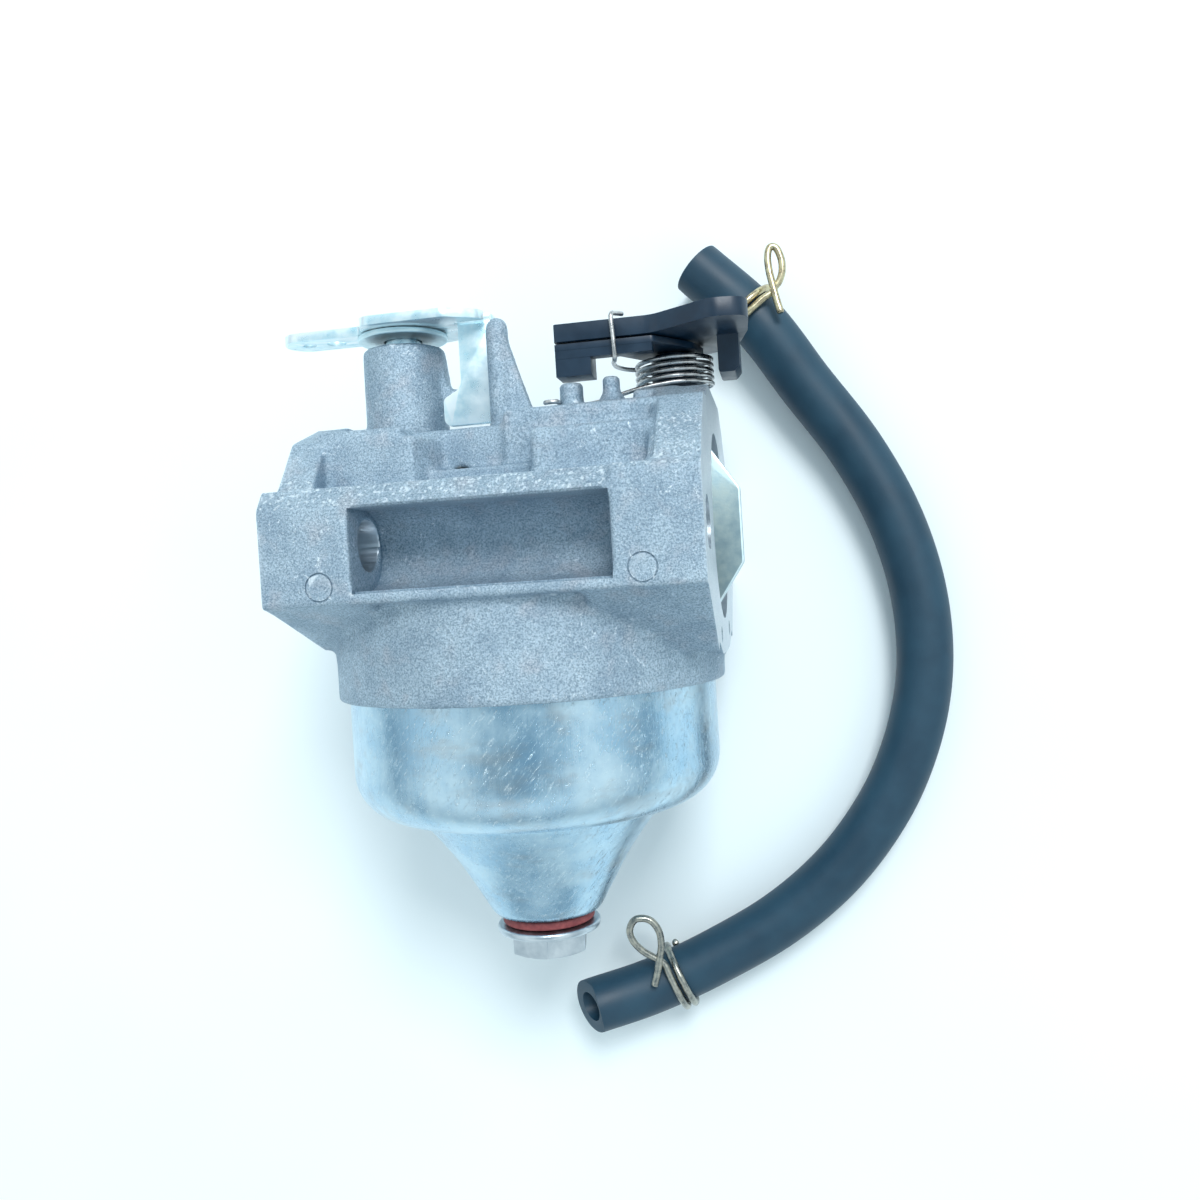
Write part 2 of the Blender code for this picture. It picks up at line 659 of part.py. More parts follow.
def float_assembly(root, looks):
    """Float with its hinge tongue, its pin, and the needle that it lifts."""
    axis = empty("float_axis", (0, FLOAT_PIN_Y, FLOAT_PIN_Z), root)
    y, z = FLOAT_PIN_Y, FLOAT_PIN_Z
    profile = [(19.5, -23.2 - z), (19.5, -31 - z), (9.0, -31 - z), (9.0, -23.2 - z)]
    drum = turned("float", profile, axis, tool=False, centre=(0, -y, 0), sides=48, closed=True)
    cut(drum, box("float_gap", (-5.4, -y + 1, -20), (5.4, 8, -3), axis))
    for side in (-1, 1):
        low, high = sorted((side * 7.4, side * 10.0))
        join(drum, box("arm", (low, -14.0, -5.2), (high, -1.6, -3.0), axis))
    join(
        drum,
        box("tongue", (-9.8, -6.6, -4.1), (9.8, -1.8, -2.7), axis),
        box("sleeve_web", (-3.9, -2.2, -3.8), (3.9, 1.2, -0.2), axis),
        rod("sleeve", (-4.1, 0, 0), (4.1, 0, 0), 1.7, axis, sides=16),
    )
    cut(drum, rod("sleeve_hole", (-6, 0, 0), (6, 0, 0), 1.0, axis, sides=12))
    finish(drum, looks["float"])
    pin = rod("float_pin", (-7.2, y, z), (7.2, y, z), 0.7, root, tool=False, sides=12)
    finish(pin, looks["steel"])


def needle_and_seat(root, looks):
    """Inlet valve: a brass seat in the casting and the needle under it."""
    ring("needle_seat", 1.0, 2.2, -16.2, -10.2, root, looks["brass"], sides=20, centre=(0, SEAT_Y, 0))
    profile = [(0, -15.6), (0.3, -15.6), (1.3, -17.2), (1.3, -20.4), (0.6, -20.9), (0, -20.9)]
    needle = turned("float_needle", profile, root, tool=False, centre=(0, SEAT_Y, 0), sides=16)
    finish(needle, looks["steel"])


def jets(root, looks):
    """Main nozzle and jet in the column, pilot jet in the front wall, bleed jets in the air face."""
    ring("main_nozzle", 0.8, 2.6, -37.6, -3.0, root, looks["brass"], sides=20)
    ring("main_jet", 0.5, 2.5, -42.8, -37.9, root, looks["brass"], sides=20)
    jet_x, jet_z = PILOT_JET
    profile = [(1.15, 12.4), (1.15, 7.0), (0.4, 7.0), (0.4, 12.4)]
    pilot = turned("pilot_jet", profile, root, tool=False, axis="-Y", centre=(jet_x, 0, jet_z), sides=16,
                   closed=True)
    finish(pilot, looks["brass"])
    profile = [(0.9, AIR_FACE_X - 0.4), (0.9, AIR_FACE_X - 4), (0.35, AIR_FACE_X - 4),
               (0.35, AIR_FACE_X - 0.4)]
    for name, y in (("bleed_jet_front", -8.6), ("bleed_jet_back", 8.6)):
        bleed = turned(name, profile, root, tool=False, axis="X", centre=(0, y, -14.4), sides=12, closed=True)
        finish(bleed, looks["brass"])


def fuel_inlet(root, look):
    """Barbed brass spigot behind the skirt."""
    spigot = rod("fuel_inlet", inlet_point(22.8), inlet_point(32.0), 2.15, root, tool=False, sides=20)
    for radius in (29.0, 30.9):
        join(spigot, rod("barb", inlet_point(radius), inlet_point(radius + 1.2), 2.7, root,
                         radius_end=2.2, sides=20))
    cut(spigot, rod("inlet_hole", inlet_point(20), inlet_point(34), 1.2, root, sides=16))
    return finish(spigot, look)


def mixture_screw(root, looks):
    """Idle mixture screw and its spring, at the back of the upper body."""
    x, z = -6.5, 9.5
    screw = rod("mixture_screw", (x, 5.0, z), (x, 19.6, z), 1.15, root, tool=False, sides=16)
    join(
        screw,
        rod("mixture_head", (x, 19.4, z), (x, 22.0, z), 2.3, root, sides=20),
        rod("mixture_tip", (x, 2.6, z), (x, 5.2, z), 0.3, root, radius_end=1.1, sides=16),
    )
    cut(screw, box("head_slot", (x - 0.3, 21.2, z - 3), (x + 0.3, 23, z + 3), root))
    finish(screw, looks["brass"])
    turns, steps, low, high = 2.5, 12, 16.3, 18.8
    points = []
    for step in range(int(turns * steps) + 1):
        angle = 2 * math.pi * step / steps
        along = low + (high - low) * step / (turns * steps)
        points.append((x + 1.85 * math.cos(angle), along, z + 1.85 * math.sin(angle)))
    finish(wire("mixture_spring", points, 0.3, root), looks["spring"])


def chamber(root, looks):
    """Bowl, bolt, seals and everything inside."""
    float_bowl(root, looks["zinc"])
    bowl_bolt(root, looks["steel"])
    ring("bowl_gasket", 24.6, 25.5, -18.5, -17.3, root, looks["seal"], sides=48)
    ring("bowl_washer", 3.6, 6.5, BOWL_FLOOR_Z - 1.4, BOWL_FLOOR_Z - 0.3, root, looks["fibre"])
    float_assembly(root, looks)
    needle_and_seat(root, looks)
    jets(root, looks)
    fuel_inlet(root, looks["brass"])
    mixture_screw(root, looks)
    plug = rod("expansion_plug", (-5.0, 4.2, LOW_DECK_Z - 0.8), (-5.0, 4.2, LOW_DECK_Z - 0.1), 3.3, root,
               tool=False)
    finish(plug, looks["steel"])


# ---------------------------------------------------------------- hose

# The hose's axis in world millimetres, from its upper end round to its lifted lower end
HOSE_ROUTE = [
    (25.1, 54.4, 5.6),
    (34.1, 44.8, 6.5),
    (40.9, 34.7, 5.2),
    (47.5, 24.9, 4.5),
    (52.3, 15.2, 4.4),
    (55.2, 5.8, 4.4),
    (56.4, -3.5, 4.4),
    (55.9, -12.7, 4.4),
    (53.5, -21.9, 4.4),
    (49.1, -31.1, 4.4),
    (42.0, -40.4, 4.4),
    (32.8, -48.2, 4.5),
    (22.0, -54.2, 5.2),
    (11.6, -58.4, 7.0),
    (2.0, -60.5, 10.4),
]


def smooth(points, per_span=12):
    """Many points on a smooth curve through a few."""
    ends = [2 * Vector(points[0]) - Vector(points[1]), 2 * Vector(points[-1]) - Vector(points[-2])]
    nodes = [ends[0], *[Vector(p) for p in points], ends[1]]
    found = []
    for before, start, stop, after in zip(nodes, nodes[1:], nodes[2:], nodes[3:]):
        for step in range(per_span):
            t = step / per_span
            found.append(0.5 * (
                2 * start + (stop - before) * t + (2 * before - 5 * start + 4 * stop - after) * t * t
                + (3 * start - before - 3 * stop + after) * t ** 3
            ))
    return [*found, nodes[-2]]


def spaced(points, step):
    """Points a step apart along a path, both its ends among them."""
    lengths = [(b - a).length for a, b in zip(points, points[1:])]
    count = round(sum(lengths) / step)
    spacing, walked, found = sum(lengths) / count, 0.0, [points[0]]
    for start, stop, length in zip(points, points[1:], lengths):
        while len(found) < count and walked + length >= spacing * len(found):
            found.append(start.lerp(stop, (spacing * len(found) - walked) / length))
        walked += length
    return [*found, points[-1]]


def clip(name, path, span, share, turn_sign, look):
    """Wire clip round the hose: a helix of one and a quarter turns, then a lead and an eye."""
    start, stop = path[span], path[span + 1]
    along = (stop - start).normalized()
    side = along.cross(Vector((0, 0, 1))).normalized() * turn_sign
    up = side.cross(along).normalized() * turn_sign
    centre = start.lerp(stop, share)
    points = []
    steps, turns, pitch, first_angle = 18, 1.3, 1.7, math.radians(-40)
    for step in range(int(steps * turns) + 1):
        angle = first_angle - 2 * math.pi * step / steps
        drift = pitch * (step / steps - turns / 2)
        points.append(centre + CLIP_RADIUS * (math.cos(angle) * side + math.sin(angle) * up) + along * drift)
    heading = (points[-1] - points[-2]).normalized()
    lead, eye_radius, eye_steps, eye_rise = 3.0, 2.3, 10, 0.12
    points.append(points[-1] + heading * lead)
    middle = points[-1] + heading * (eye_radius + 0.1)
    for step in range(1, eye_steps):
        angle = math.pi + 2 * math.pi * step / eye_steps
        turn = math.cos(angle) * heading + math.sin(angle) * along
        points.append(middle + eye_radius * turn + up * eye_rise * step)
    return finish(wire(name, points, CLIP_WIRE_RADIUS, None), look)


def hose(looks):
    """The loose fuel hose on the floor, and a spring clip near each end."""
    path = spaced(smooth(HOSE_ROUTE), HOSE_STEP * 2 * HOSE_RADIUS)
    finish(wire("fuel_hose", path, HOSE_RADIUS, None, resolution=4), looks["rubber"])
    clip("hose_clip_upper", path, 0, 0.7, 1, looks["chromate"])
    clip("hose_clip_lower", path, len(path) - 2, 0.15, -1, looks["chromate"])


def build():
    """Model the whole assembly, then lay it on its back."""
    clear_scene()
    looks = make_materials()
    root = empty("carburetor", (-CENTRE_X, -CENTRE_Z, BACK_Y))
    root.rotation_euler = (-math.pi / 2, 0, 0)
    carb_body(root, looks["casting"])
    throttle(root, looks)
    choke(root, looks)
    chamber(root, looks)
    hose(looks)


build()
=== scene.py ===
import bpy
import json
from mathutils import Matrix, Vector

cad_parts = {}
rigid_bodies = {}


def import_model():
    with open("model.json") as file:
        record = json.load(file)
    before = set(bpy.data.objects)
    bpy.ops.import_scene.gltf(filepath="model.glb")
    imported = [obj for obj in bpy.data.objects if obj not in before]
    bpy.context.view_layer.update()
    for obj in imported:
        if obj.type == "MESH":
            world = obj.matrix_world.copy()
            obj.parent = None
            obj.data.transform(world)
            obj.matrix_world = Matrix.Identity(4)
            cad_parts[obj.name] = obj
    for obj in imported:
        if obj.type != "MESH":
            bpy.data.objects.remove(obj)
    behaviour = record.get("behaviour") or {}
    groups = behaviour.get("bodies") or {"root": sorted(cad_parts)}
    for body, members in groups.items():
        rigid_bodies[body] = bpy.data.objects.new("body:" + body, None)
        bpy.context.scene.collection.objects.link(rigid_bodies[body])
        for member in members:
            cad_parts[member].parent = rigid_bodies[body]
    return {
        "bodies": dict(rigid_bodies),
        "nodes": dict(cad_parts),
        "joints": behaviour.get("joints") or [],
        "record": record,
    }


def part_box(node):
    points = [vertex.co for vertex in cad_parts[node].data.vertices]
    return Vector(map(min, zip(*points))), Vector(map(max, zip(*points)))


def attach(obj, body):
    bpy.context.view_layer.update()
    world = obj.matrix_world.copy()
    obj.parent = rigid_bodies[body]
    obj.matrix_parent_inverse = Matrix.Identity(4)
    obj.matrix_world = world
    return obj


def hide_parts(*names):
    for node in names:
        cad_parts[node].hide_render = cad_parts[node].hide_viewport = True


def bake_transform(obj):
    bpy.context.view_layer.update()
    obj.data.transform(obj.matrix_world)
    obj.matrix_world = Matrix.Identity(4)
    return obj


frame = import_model()

"""Looks of the float carburetor and its loose fuel hose.

Shapes are drawn in millimetres in the carburetor's working position: x along the bore towards
the air side, y from front to back, z up towards the levers, zero on the bowl's axis at the bore's
height. settle() lays each one in the row frame, on its back, with the CAD model.
"""

import json
import math

import bmesh
import bpy
import numpy as np
import openvdb
from mathutils import Matrix, Vector, noise

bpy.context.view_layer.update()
MM = 0.001


def middle(node):
    """Centre of a CAD node's box in metres."""
    low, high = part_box(node)
    return (Vector(low) + Vector(high)) / 2


bowl_middle, bore_middle = middle("float_bowl"), middle("choke_plate")
TO_ROW = Matrix((
    (MM, 0, 0, bowl_middle.x),
    (0, 0, MM, bore_middle.y),
    (0, -MM, 0, bowl_middle.z),
    (0, 0, 0, 1),
))
TO_WORK = TO_ROW.inverted()

# Driving sizes in the working position, read back from the CAD nodes
body_low, body_high = [TO_WORK @ Vector(corner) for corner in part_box("carb_body")]
ENGINE_X, AIR_X = body_low.x, body_high.x
FRONT_Y, BACK_Y = min(body_low.y, body_high.y), max(body_low.y, body_high.y)
THROTTLE_X = (TO_WORK @ middle("throttle_collar")).x
CHOKE_X = (TO_WORK @ middle("choke_shaft")).x


# ---------------------------------------------------------------- camera

def make_camera():
    """Nearly straight down on the front face, a little from the air side and below, rolled a little."""
    place = Vector((36.07, -146.04, -7.1))
    azimuth, elevation, roll = math.radians(10.07), math.radians(0.78), math.radians(3.56)
    ahead = Vector((-math.sin(azimuth) * math.cos(elevation), math.cos(azimuth) * math.cos(elevation),
                    -math.sin(elevation)))
    level = Vector((math.cos(azimuth), math.sin(azimuth), 0))
    upright = level.cross(ahead)
    right = math.cos(roll) * level - math.sin(roll) * upright
    up = math.sin(roll) * level + math.cos(roll) * upright
    turn = TO_ROW.to_3x3() * (1 / MM) @ Matrix((right, up, -ahead)).transposed()
    camera = bpy.data.objects.new("camera", bpy.data.cameras.new("camera"))
    camera.data.sensor_width = 36.0
    camera.data.lens = 31.8
    camera.data.clip_start = 0.005
    camera.matrix_world = Matrix.Translation(TO_ROW @ place) @ turn.to_4x4()
    bpy.context.collection.objects.link(camera)
    bpy.context.scene.camera = camera


# ---------------------------------------------------------------- materials

class Look:
    """A Principled material, with short calls that add nodes to it. Sizes are in millimetres."""

    def __init__(self, name, metallic=0.0):
        self.material = bpy.data.materials.new(name)
        self.material.use_nodes = True
        self.tree = self.material.node_tree
        self.shader = self.tree.nodes["Principled BSDF"]
        self.shader.inputs["Metallic"].default_value = metallic
        self.place = self.tree.nodes.new("ShaderNodeTexCoord").outputs["Object"]

    def node(self, kind, **settings):
        made = self.tree.nodes.new(kind)
        for key, value in settings.items():
            setattr(made, key, value)
        return made

    def feed(self, socket, value):
        if isinstance(value, bpy.types.NodeSocket):
            self.tree.links.new(value, socket)
        elif isinstance(value, tuple):
            socket.default_value = (*value, 1.0)
        else:
            socket.default_value = value

    def stretched(self, stretch, turn=0.0):
        """The place, squeezed so that a texture is longer along some axes, and turned about Z."""
        mapping = self.node("ShaderNodeMapping", vector_type="TEXTURE")
        self.feed(mapping.inputs["Vector"], self.place)
        mapping.inputs["Scale"].default_value = [1 / amount for amount in stretch]
        mapping.inputs["Rotation"].default_value = (0, 0, turn)
        return mapping.outputs["Vector"]

    def noise(self, size, detail=2.0, rough=0.5, stretch=None, seed=0.0, turn=0.0):
        made = self.node("ShaderNodeTexNoise", noise_dimensions="4D")
        self.feed(made.inputs["Vector"], self.stretched(stretch, turn) if stretch else self.place)
        made.inputs["Scale"].default_value = 1 / (size * MM)
        made.inputs["Detail"].default_value = detail
        made.inputs["Roughness"].default_value = rough
        made.inputs["W"].default_value = seed
        return made.outputs["Fac"]

    def ramp(self, value, low, high, start=0.0, stop=1.0):
        """value from low to high becomes start to stop, smoothly, and stays between them."""
        made = self.node("ShaderNodeMapRange", interpolation_type="SMOOTHSTEP")
        self.feed(made.inputs["Value"], value)
        for key, number in (("From Min", low), ("From Max", high), ("To Min", start), ("To Max", stop)):
            made.inputs[key].default_value = number
        return made.outputs["Result"]

    def mix(self, share, first, second):
        """A colour between two colours."""
        made = self.node("ShaderNodeMix", data_type="RGBA")
        self.feed(made.inputs["Factor"], share)
        self.feed(made.inputs[6], first)
        self.feed(made.inputs[7], second)
        return made.outputs[2]

    def calc(self, operation, first, second):
        made = self.node("ShaderNodeMath", operation=operation)
        self.feed(made.inputs[0], first)
        self.feed(made.inputs[1], second)
        return made.outputs[0]

    def bump(self, height, depth, strength=1.0):
        """A normal from a height field whose full range is depth millimetres."""
        made = self.node("ShaderNodeBump")
        self.feed(made.inputs["Height"], height)
        made.inputs["Distance"].default_value = depth * MM
        made.inputs["Strength"].default_value = strength
        return made.outputs["Normal"]

    def finish(self, colour=None, roughness=None, normal=None):
        for key, value in (("Base Color", colour), ("Roughness", roughness), ("Normal", normal)):
            if value is not None:
                self.feed(self.shader.inputs[key], value)
        return self.material


def edge_wear(look):
    """1 on sharp outer edges, 0 elsewhere."""
    geometry = look.node("ShaderNodeNewGeometry")
    return look.ramp(geometry.outputs["Pointiness"], 0.52, 0.60)


def cast_look(name="cast_alloy_look", coarse=0.0):
    """Die-cast alloy: sandy blue-grey grain, faint blotches, scuffs and brighter edges, with painted shade
    that darkens its crevices and recess corners.
    """
    look = Look(name, metallic=0.75)
    grain = look.noise(0.24, detail=4, rough=0.75)
    blotch = look.noise(6.0, detail=4, rough=0.6)
    fleck = look.ramp(look.noise(0.30 + 0.16 * coarse, detail=2, rough=0.6, seed=3),
                      0.58 - 0.07 * coarse, 0.72 - 0.05 * coarse)
    scuffs = [look.ramp(look.noise(0.9, detail=5, rough=0.8, stretch=(1.3, 0.6, 0.8), seed=seed, turn=turn),
                        0.59, 0.66) for seed, turn in ((7, 0.5), (11, -0.9))]
    patch = look.ramp(look.noise(9.0, detail=2, seed=13), 0.42, 0.62, 0.15, 1.0)
    scuff = look.calc("MULTIPLY", look.calc("MAXIMUM", *scuffs), patch)
    pink = look.ramp(look.noise(3.4, detail=3, seed=5), 0.5, 0.72)
    base = look.mix(look.ramp(blotch, 0.3, 0.7), (0.37, 0.48, 0.58), (0.53, 0.65, 0.74))
    base = look.mix(look.calc("MULTIPLY", pink, 0.6), base, (0.54, 0.56, 0.61))
    base = look.mix(look.ramp(grain, 0.40, 0.62, 0.0, 0.7), base, (0.12, 0.19, 0.26))
    # Painted shade: an ambient occlusion mask darkens the colour toward dark blue-grey in crevices and recess
    # corners.
    closed = look.node("ShaderNodeAmbientOcclusion", samples=4)
    closed.inputs["Distance"].default_value = 4 * MM
    base = look.mix(look.ramp(closed.outputs["AO"], 0.25, 0.85, 0.6, 0.0), base, (0.12, 0.21, 0.29))
    light = look.calc("MAXIMUM", look.calc("MULTIPLY", fleck, 0.42 + 0.3 * coarse),
                      look.calc("MULTIPLY", scuff, 0.75))
    light = look.calc("MAXIMUM", light, look.calc("MULTIPLY", edge_wear(look), 0.6))
    base = look.mix(light, base, (0.80, 0.88, 0.93))
    rough = look.ramp(light, 0.0, 1.0, 0.58, 0.34)
    height = look.calc("ADD", grain, look.calc("MULTIPLY", look.noise(1.4, detail=3), 0.7))
    return look.finish(base, rough, look.bump(height, 0.16 + 0.10 * coarse, 0.9))


def machined_look():
    """Cut alloy: brighter, with fine tool lines."""
    look = Look("machined_alloy_look", metallic=1.0)
    lines = look.noise(0.16, detail=2, stretch=(1.0, 1.0, 0.12))
    stain = look.noise(4.0, detail=3)
    base = look.mix(look.ramp(stain, 0.35, 0.7), (0.56, 0.63, 0.69), (0.62, 0.69, 0.74))
    rough = look.ramp(lines, 0.3, 0.7, 0.28, 0.42)
    return look.finish(base, rough, look.bump(lines, 0.02, 0.6))


def bowl_look():
    """Satin zinc plate on a drawn bowl: rubbed, a little stained, scratched down its length."""
    look = Look("satin_zinc_look", metallic=1.0)
    cloud = look.noise(8.0, detail=5, rough=0.65)
    streak = look.noise(0.9, detail=4, rough=0.7, stretch=(1.4, 0.18, 1.4))
    speck = look.ramp(look.noise(0.7, detail=5, rough=0.8, seed=4), 0.60, 0.72)
    hair = look.noise(0.9, detail=6, rough=0.85, stretch=(2.6, 0.4, 2.0), seed=9, turn=-0.7)
    hair = look.ramp(hair, 0.55, 0.63)
    smear = look.ramp(look.noise(5.0, detail=4, rough=0.6, stretch=(0.5, 1.3, 1.0), seed=12), 0.50, 0.70)
    base = look.mix(look.ramp(cloud, 0.3, 0.7), (0.34, 0.53, 0.68), (0.60, 0.77, 0.86))
    base = look.mix(look.calc("MULTIPLY", smear, 0.55), base, (0.42, 0.47, 0.50))
    base = look.mix(look.calc("MULTIPLY", speck, 0.55), base, (0.34, 0.42, 0.46))
    base = look.mix(look.calc("MULTIPLY", hair, 0.7), base, (0.80, 0.91, 0.96))
    rough = look.ramp(look.calc("ADD", cloud, look.calc("MULTIPLY", streak, 0.6)), 0.5, 1.1, 0.20, 0.38)
    wave = look.calc("MULTIPLY", look.noise(5.0, detail=2), 1.5)
    height = look.calc("ADD", look.calc("ADD", streak, hair), wave)
    return look.finish(base, rough, look.bump(height, 0.05, 0.6))


def plated_look(name="bright_zinc_look", dark=(0.62, 0.74, 0.84), light=(0.80, 0.88, 0.93), rough=0.2,
                metallic=1.0):
    """Bright plate on pressed or turned steel, with faint clouding and rubbed edges."""
    look = Look(name, metallic=metallic)
    cloud = look.noise(2.4, detail=4, rough=0.6)
    pit = look.noise(0.25, detail=2)
    base = look.mix(look.ramp(cloud, 0.3, 0.7), dark, light)
    base = look.mix(look.calc("MULTIPLY", edge_wear(look), 0.7), base, (0.93, 0.98, 1.0))
    height = look.calc("ADD", pit, cloud)
    return look.finish(base, look.ramp(cloud, 0.3, 0.75, rough, rough + 0.16), look.bump(height, 0.02, 0.5))


def wire_look(name, dark, light):
    """Drawn spring wire: lines along it are too fine to see, so it is cloudy bright metal."""
    look = Look(name, metallic=1.0)
    cloud = look.noise(1.1, detail=4, rough=0.65)
    base = look.mix(look.ramp(cloud, 0.32, 0.68), dark, light)
    return look.finish(base, look.ramp(cloud, 0.3, 0.7, 0.22, 0.40), look.bump(look.noise(0.2), 0.01, 0.5))


def plastic_look():
    """Black moulded plastic with a fine satin grain."""
    look = Look("black_plastic_look")
    grain = look.noise(0.18, detail=2)
    cloud = look.noise(3.0, detail=3)
    base = look.mix(look.ramp(cloud, 0.3, 0.7), (0.003, 0.016, 0.036), (0.006, 0.026, 0.054))
    return look.finish(base, look.ramp(cloud, 0.3, 0.7, 0.30, 0.42), look.bump(grain, 0.012, 0.6))


def hose_look():
    """Smooth black rubber, slightly dusty."""
    look = Look("hose_rubber_look")
    dust = look.ramp(look.noise(0.5, detail=5, rough=0.8), 0.60, 0.78)
    cloud = look.noise(6.0, detail=4)
    base = look.mix(look.ramp(cloud, 0.3, 0.7), (0.006, 0.037, 0.068), (0.012, 0.054, 0.092))
    base = look.mix(look.calc("MULTIPLY", dust, 0.2), base, (0.12, 0.19, 0.26))
    skin = look.bump(look.noise(0.3, detail=3), 0.02, 0.6)
    return look.finish(base, look.ramp(cloud, 0.3, 0.7, 0.46, 0.58), skin)


def plain_look(name, dark, light, metallic, rough, size=0.8, depth=0.03):
    """A small part's finish: two close tones, with a fine grain."""
    look = Look(name, metallic=metallic)
    cloud = look.noise(size, detail=4, rough=0.65)
    base = look.mix(look.ramp(cloud, 0.32, 0.68), dark, light)
    height = look.noise(size / 3, detail=3)
    return look.finish(base, look.ramp(cloud, 0.3, 0.7, rough, rough + 0.15), look.bump(height, depth, 0.6))


def make_looks():
    """Every material by a short name."""
    return {
        "cast": cast_look(),
        "coarse": cast_look("coarse_cast_look", coarse=1.0),
        "machined": machined_look(),
        "bowl": bowl_look(),
        "bright": plated_look(dark=(0.52, 0.72, 0.82), light=(0.76, 0.90, 0.95), rough=0.24),
        "zinc": plated_look("stamped_zinc_look", (0.50, 0.76, 0.86), (0.82, 0.95, 0.98), 0.26, 0.8),
        "pale": plated_look("pale_zinc_look", (0.60, 0.80, 0.86), (0.78, 0.92, 0.95), 0.42),
        "bolt": plated_look("dull_zinc_look", (0.48, 0.55, 0.60), (0.66, 0.72, 0.76), 0.28),
        "plate": plated_look("choke_plate_look", (0.20, 0.30, 0.34), (0.33, 0.42, 0.42), 0.42),
        "wire": wire_look("spring_wire_look", (0.42, 0.42, 0.42), (0.66, 0.66, 0.65)),
        "chromate": wire_look("chromate_wire_look", (0.36, 0.29, 0.20), (0.68, 0.62, 0.40)),
        "tarnished": wire_look("tarnished_wire_look", (0.24, 0.25, 0.24), (0.50, 0.49, 0.42)),
        "plastic": plastic_look(),
        "hose": hose_look(),
        "brass": plain_look("brass_look", (0.56, 0.40, 0.16), (0.74, 0.56, 0.28), 1.0, 0.25),
        "fibre": plain_look("fibre_look", (0.19, 0.035, 0.04), (0.31, 0.075, 0.075), 0.0, 0.6),
        "felt": plain_look("felt_look", (0.03, 0.03, 0.03), (0.09, 0.09, 0.09), 0.0, 0.85, depth=0.1),
        "rubber": plain_look("seal_rubber_look", (0.015, 0.015, 0.015), (0.035, 0.035, 0.035), 0.0, 0.55),
        "float": plain_look("float_look", (0.02, 0.02, 0.02), (0.05, 0.05, 0.05), 0.0, 0.5),
    }


# ---------------------------------------------------------------- shapes, in working millimetres

def new_object(name, mesh):
    made = bpy.data.objects.new(name, mesh)
    bpy.context.collection.objects.link(made)
    return made


def from_shape(name, shape):
    """An object from a bmesh with its faces turned outwards."""
    bmesh.ops.recalc_face_normals(shape, faces=shape.faces)
    mesh = bpy.data.meshes.new(name)
    shape.to_mesh(mesh)
    shape.free()
    return new_object(name, mesh)


def bake_modifiers(made):
    """Replace an object's mesh with what its modifiers make of it."""
    graph = bpy.context.evaluated_depsgraph_get()
    mesh = bpy.data.meshes.new_from_object(made.evaluated_get(graph))
    old = made.data
    made.modifiers.clear()
    made.data = mesh
    bpy.data.meshes.remove(old)
    return made


def combine(target, operation, *tools):
    """Join tools to a target, or cut them from it, and drop them."""
    for tool in tools:
        modifier = target.modifiers.new("combine", "BOOLEAN")
        modifier.operation = operation
        modifier.solver = "MANIFOLD"
        modifier.object = tool
        bake_modifiers(target)
        bpy.data.objects.remove(tool, do_unlink=True)
    return target


def soften(made, width, segments=3, angle=30):
    """Round the edges that turn more than an angle."""
    bevel = made.modifiers.new("soften", "BEVEL")
    bevel.width = width
    bevel.segments = segments
    bevel.limit_method = "ANGLE"
    bevel.angle_limit = math.radians(angle)
    return bake_modifiers(made)


def filleted(corners, steps=6):
    """An outline with its corners rounded: each corner is (a, b) or (a, b, radius)."""
    count = len(corners)
    found = []
    for i, corner in enumerate(corners):
        here = Vector(corner[:2])
        radius = corner[2] if len(corner) > 2 else 0
        if not radius:
            found.append(tuple(here))
            continue
        before = (Vector(corners[i - 1][:2]) - here).normalized()
        after = (Vector(corners[(i + 1) % count][:2]) - here).normalized()
        half = before.angle(after) / 2
        reach = radius / math.tan(half)
        centre = here + (before + after).normalized() * (radius / math.sin(half))
        start, stop = here + before * reach - centre, here + after * reach - centre
        sweep = start.angle_signed(stop)
        for step in range(steps + 1):
            turn = Matrix.Rotation(-sweep * step / steps, 2)
            found.append(tuple(centre + turn @ start))
    return found


def prism(name, corners, low, high, plane="XY"):
    """A flat outline, thick from low to high along the plane's normal."""
    shape = bmesh.new()
    lay = {
        "XY": lambda a, b, c: (a, b, c),
        "XZ": lambda a, b, c: (a, c, b),
        "YZ": lambda a, b, c: (c, a, b),
    }[plane]
    bottom = [shape.verts.new(lay(a, b, low)) for a, b in corners]
    top = [shape.verts.new(lay(a, b, high)) for a, b in corners]
    shape.faces.new(bottom)
    shape.faces.new(top)
    for i in range(len(corners)):
        j = (i + 1) % len(corners)
        shape.faces.new((bottom[i], bottom[j], top[j], top[i]))
    return from_shape(name, shape)


def block(name, low, high):
    """A box between two corners."""
    corners = [(low[0], low[1]), (high[0], low[1]), (high[0], high[1]), (low[0], high[1])]
    return prism(name, corners, low[2], high[2])


def lathe(name, profile, sides=96, centre=(0, 0, 0), axis="Z", closed=False):
    """A profile of (radius, height) turned round an axis through centre."""
    shape = bmesh.new()
    rings = []
    lay = {
        "Z": lambda c, s, h: (c, s, h),
        "X": lambda c, s, h: (h, c, s),
        "Y": lambda c, s, h: (s, h, c),
    }[axis]
    for radius, height in profile:
        if radius < 1e-6:
            rings.append([shape.verts.new(Vector(lay(0, 0, height)) + Vector(centre))])
            continue
        ring = []
        for i in range(sides):
            angle = 2 * math.pi * i / sides
            spot = lay(radius * math.cos(angle), radius * math.sin(angle), height)
            ring.append(shape.verts.new(Vector(spot) + Vector(centre)))
        rings.append(ring)
    pairs = list(zip(rings, rings[1:]))
    if closed:
        pairs.append((rings[-1], rings[0]))
    for first, second in pairs:
        for i in range(sides):
            j = (i + 1) % sides
            corners = [first[i % len(first)], first[j % len(first)], second[j % len(second)],
                       second[i % len(second)]]
            unique = list(dict.fromkeys(corners))
            if len(unique) > 2:
                shape.faces.new(unique)
    return from_shape(name, shape)


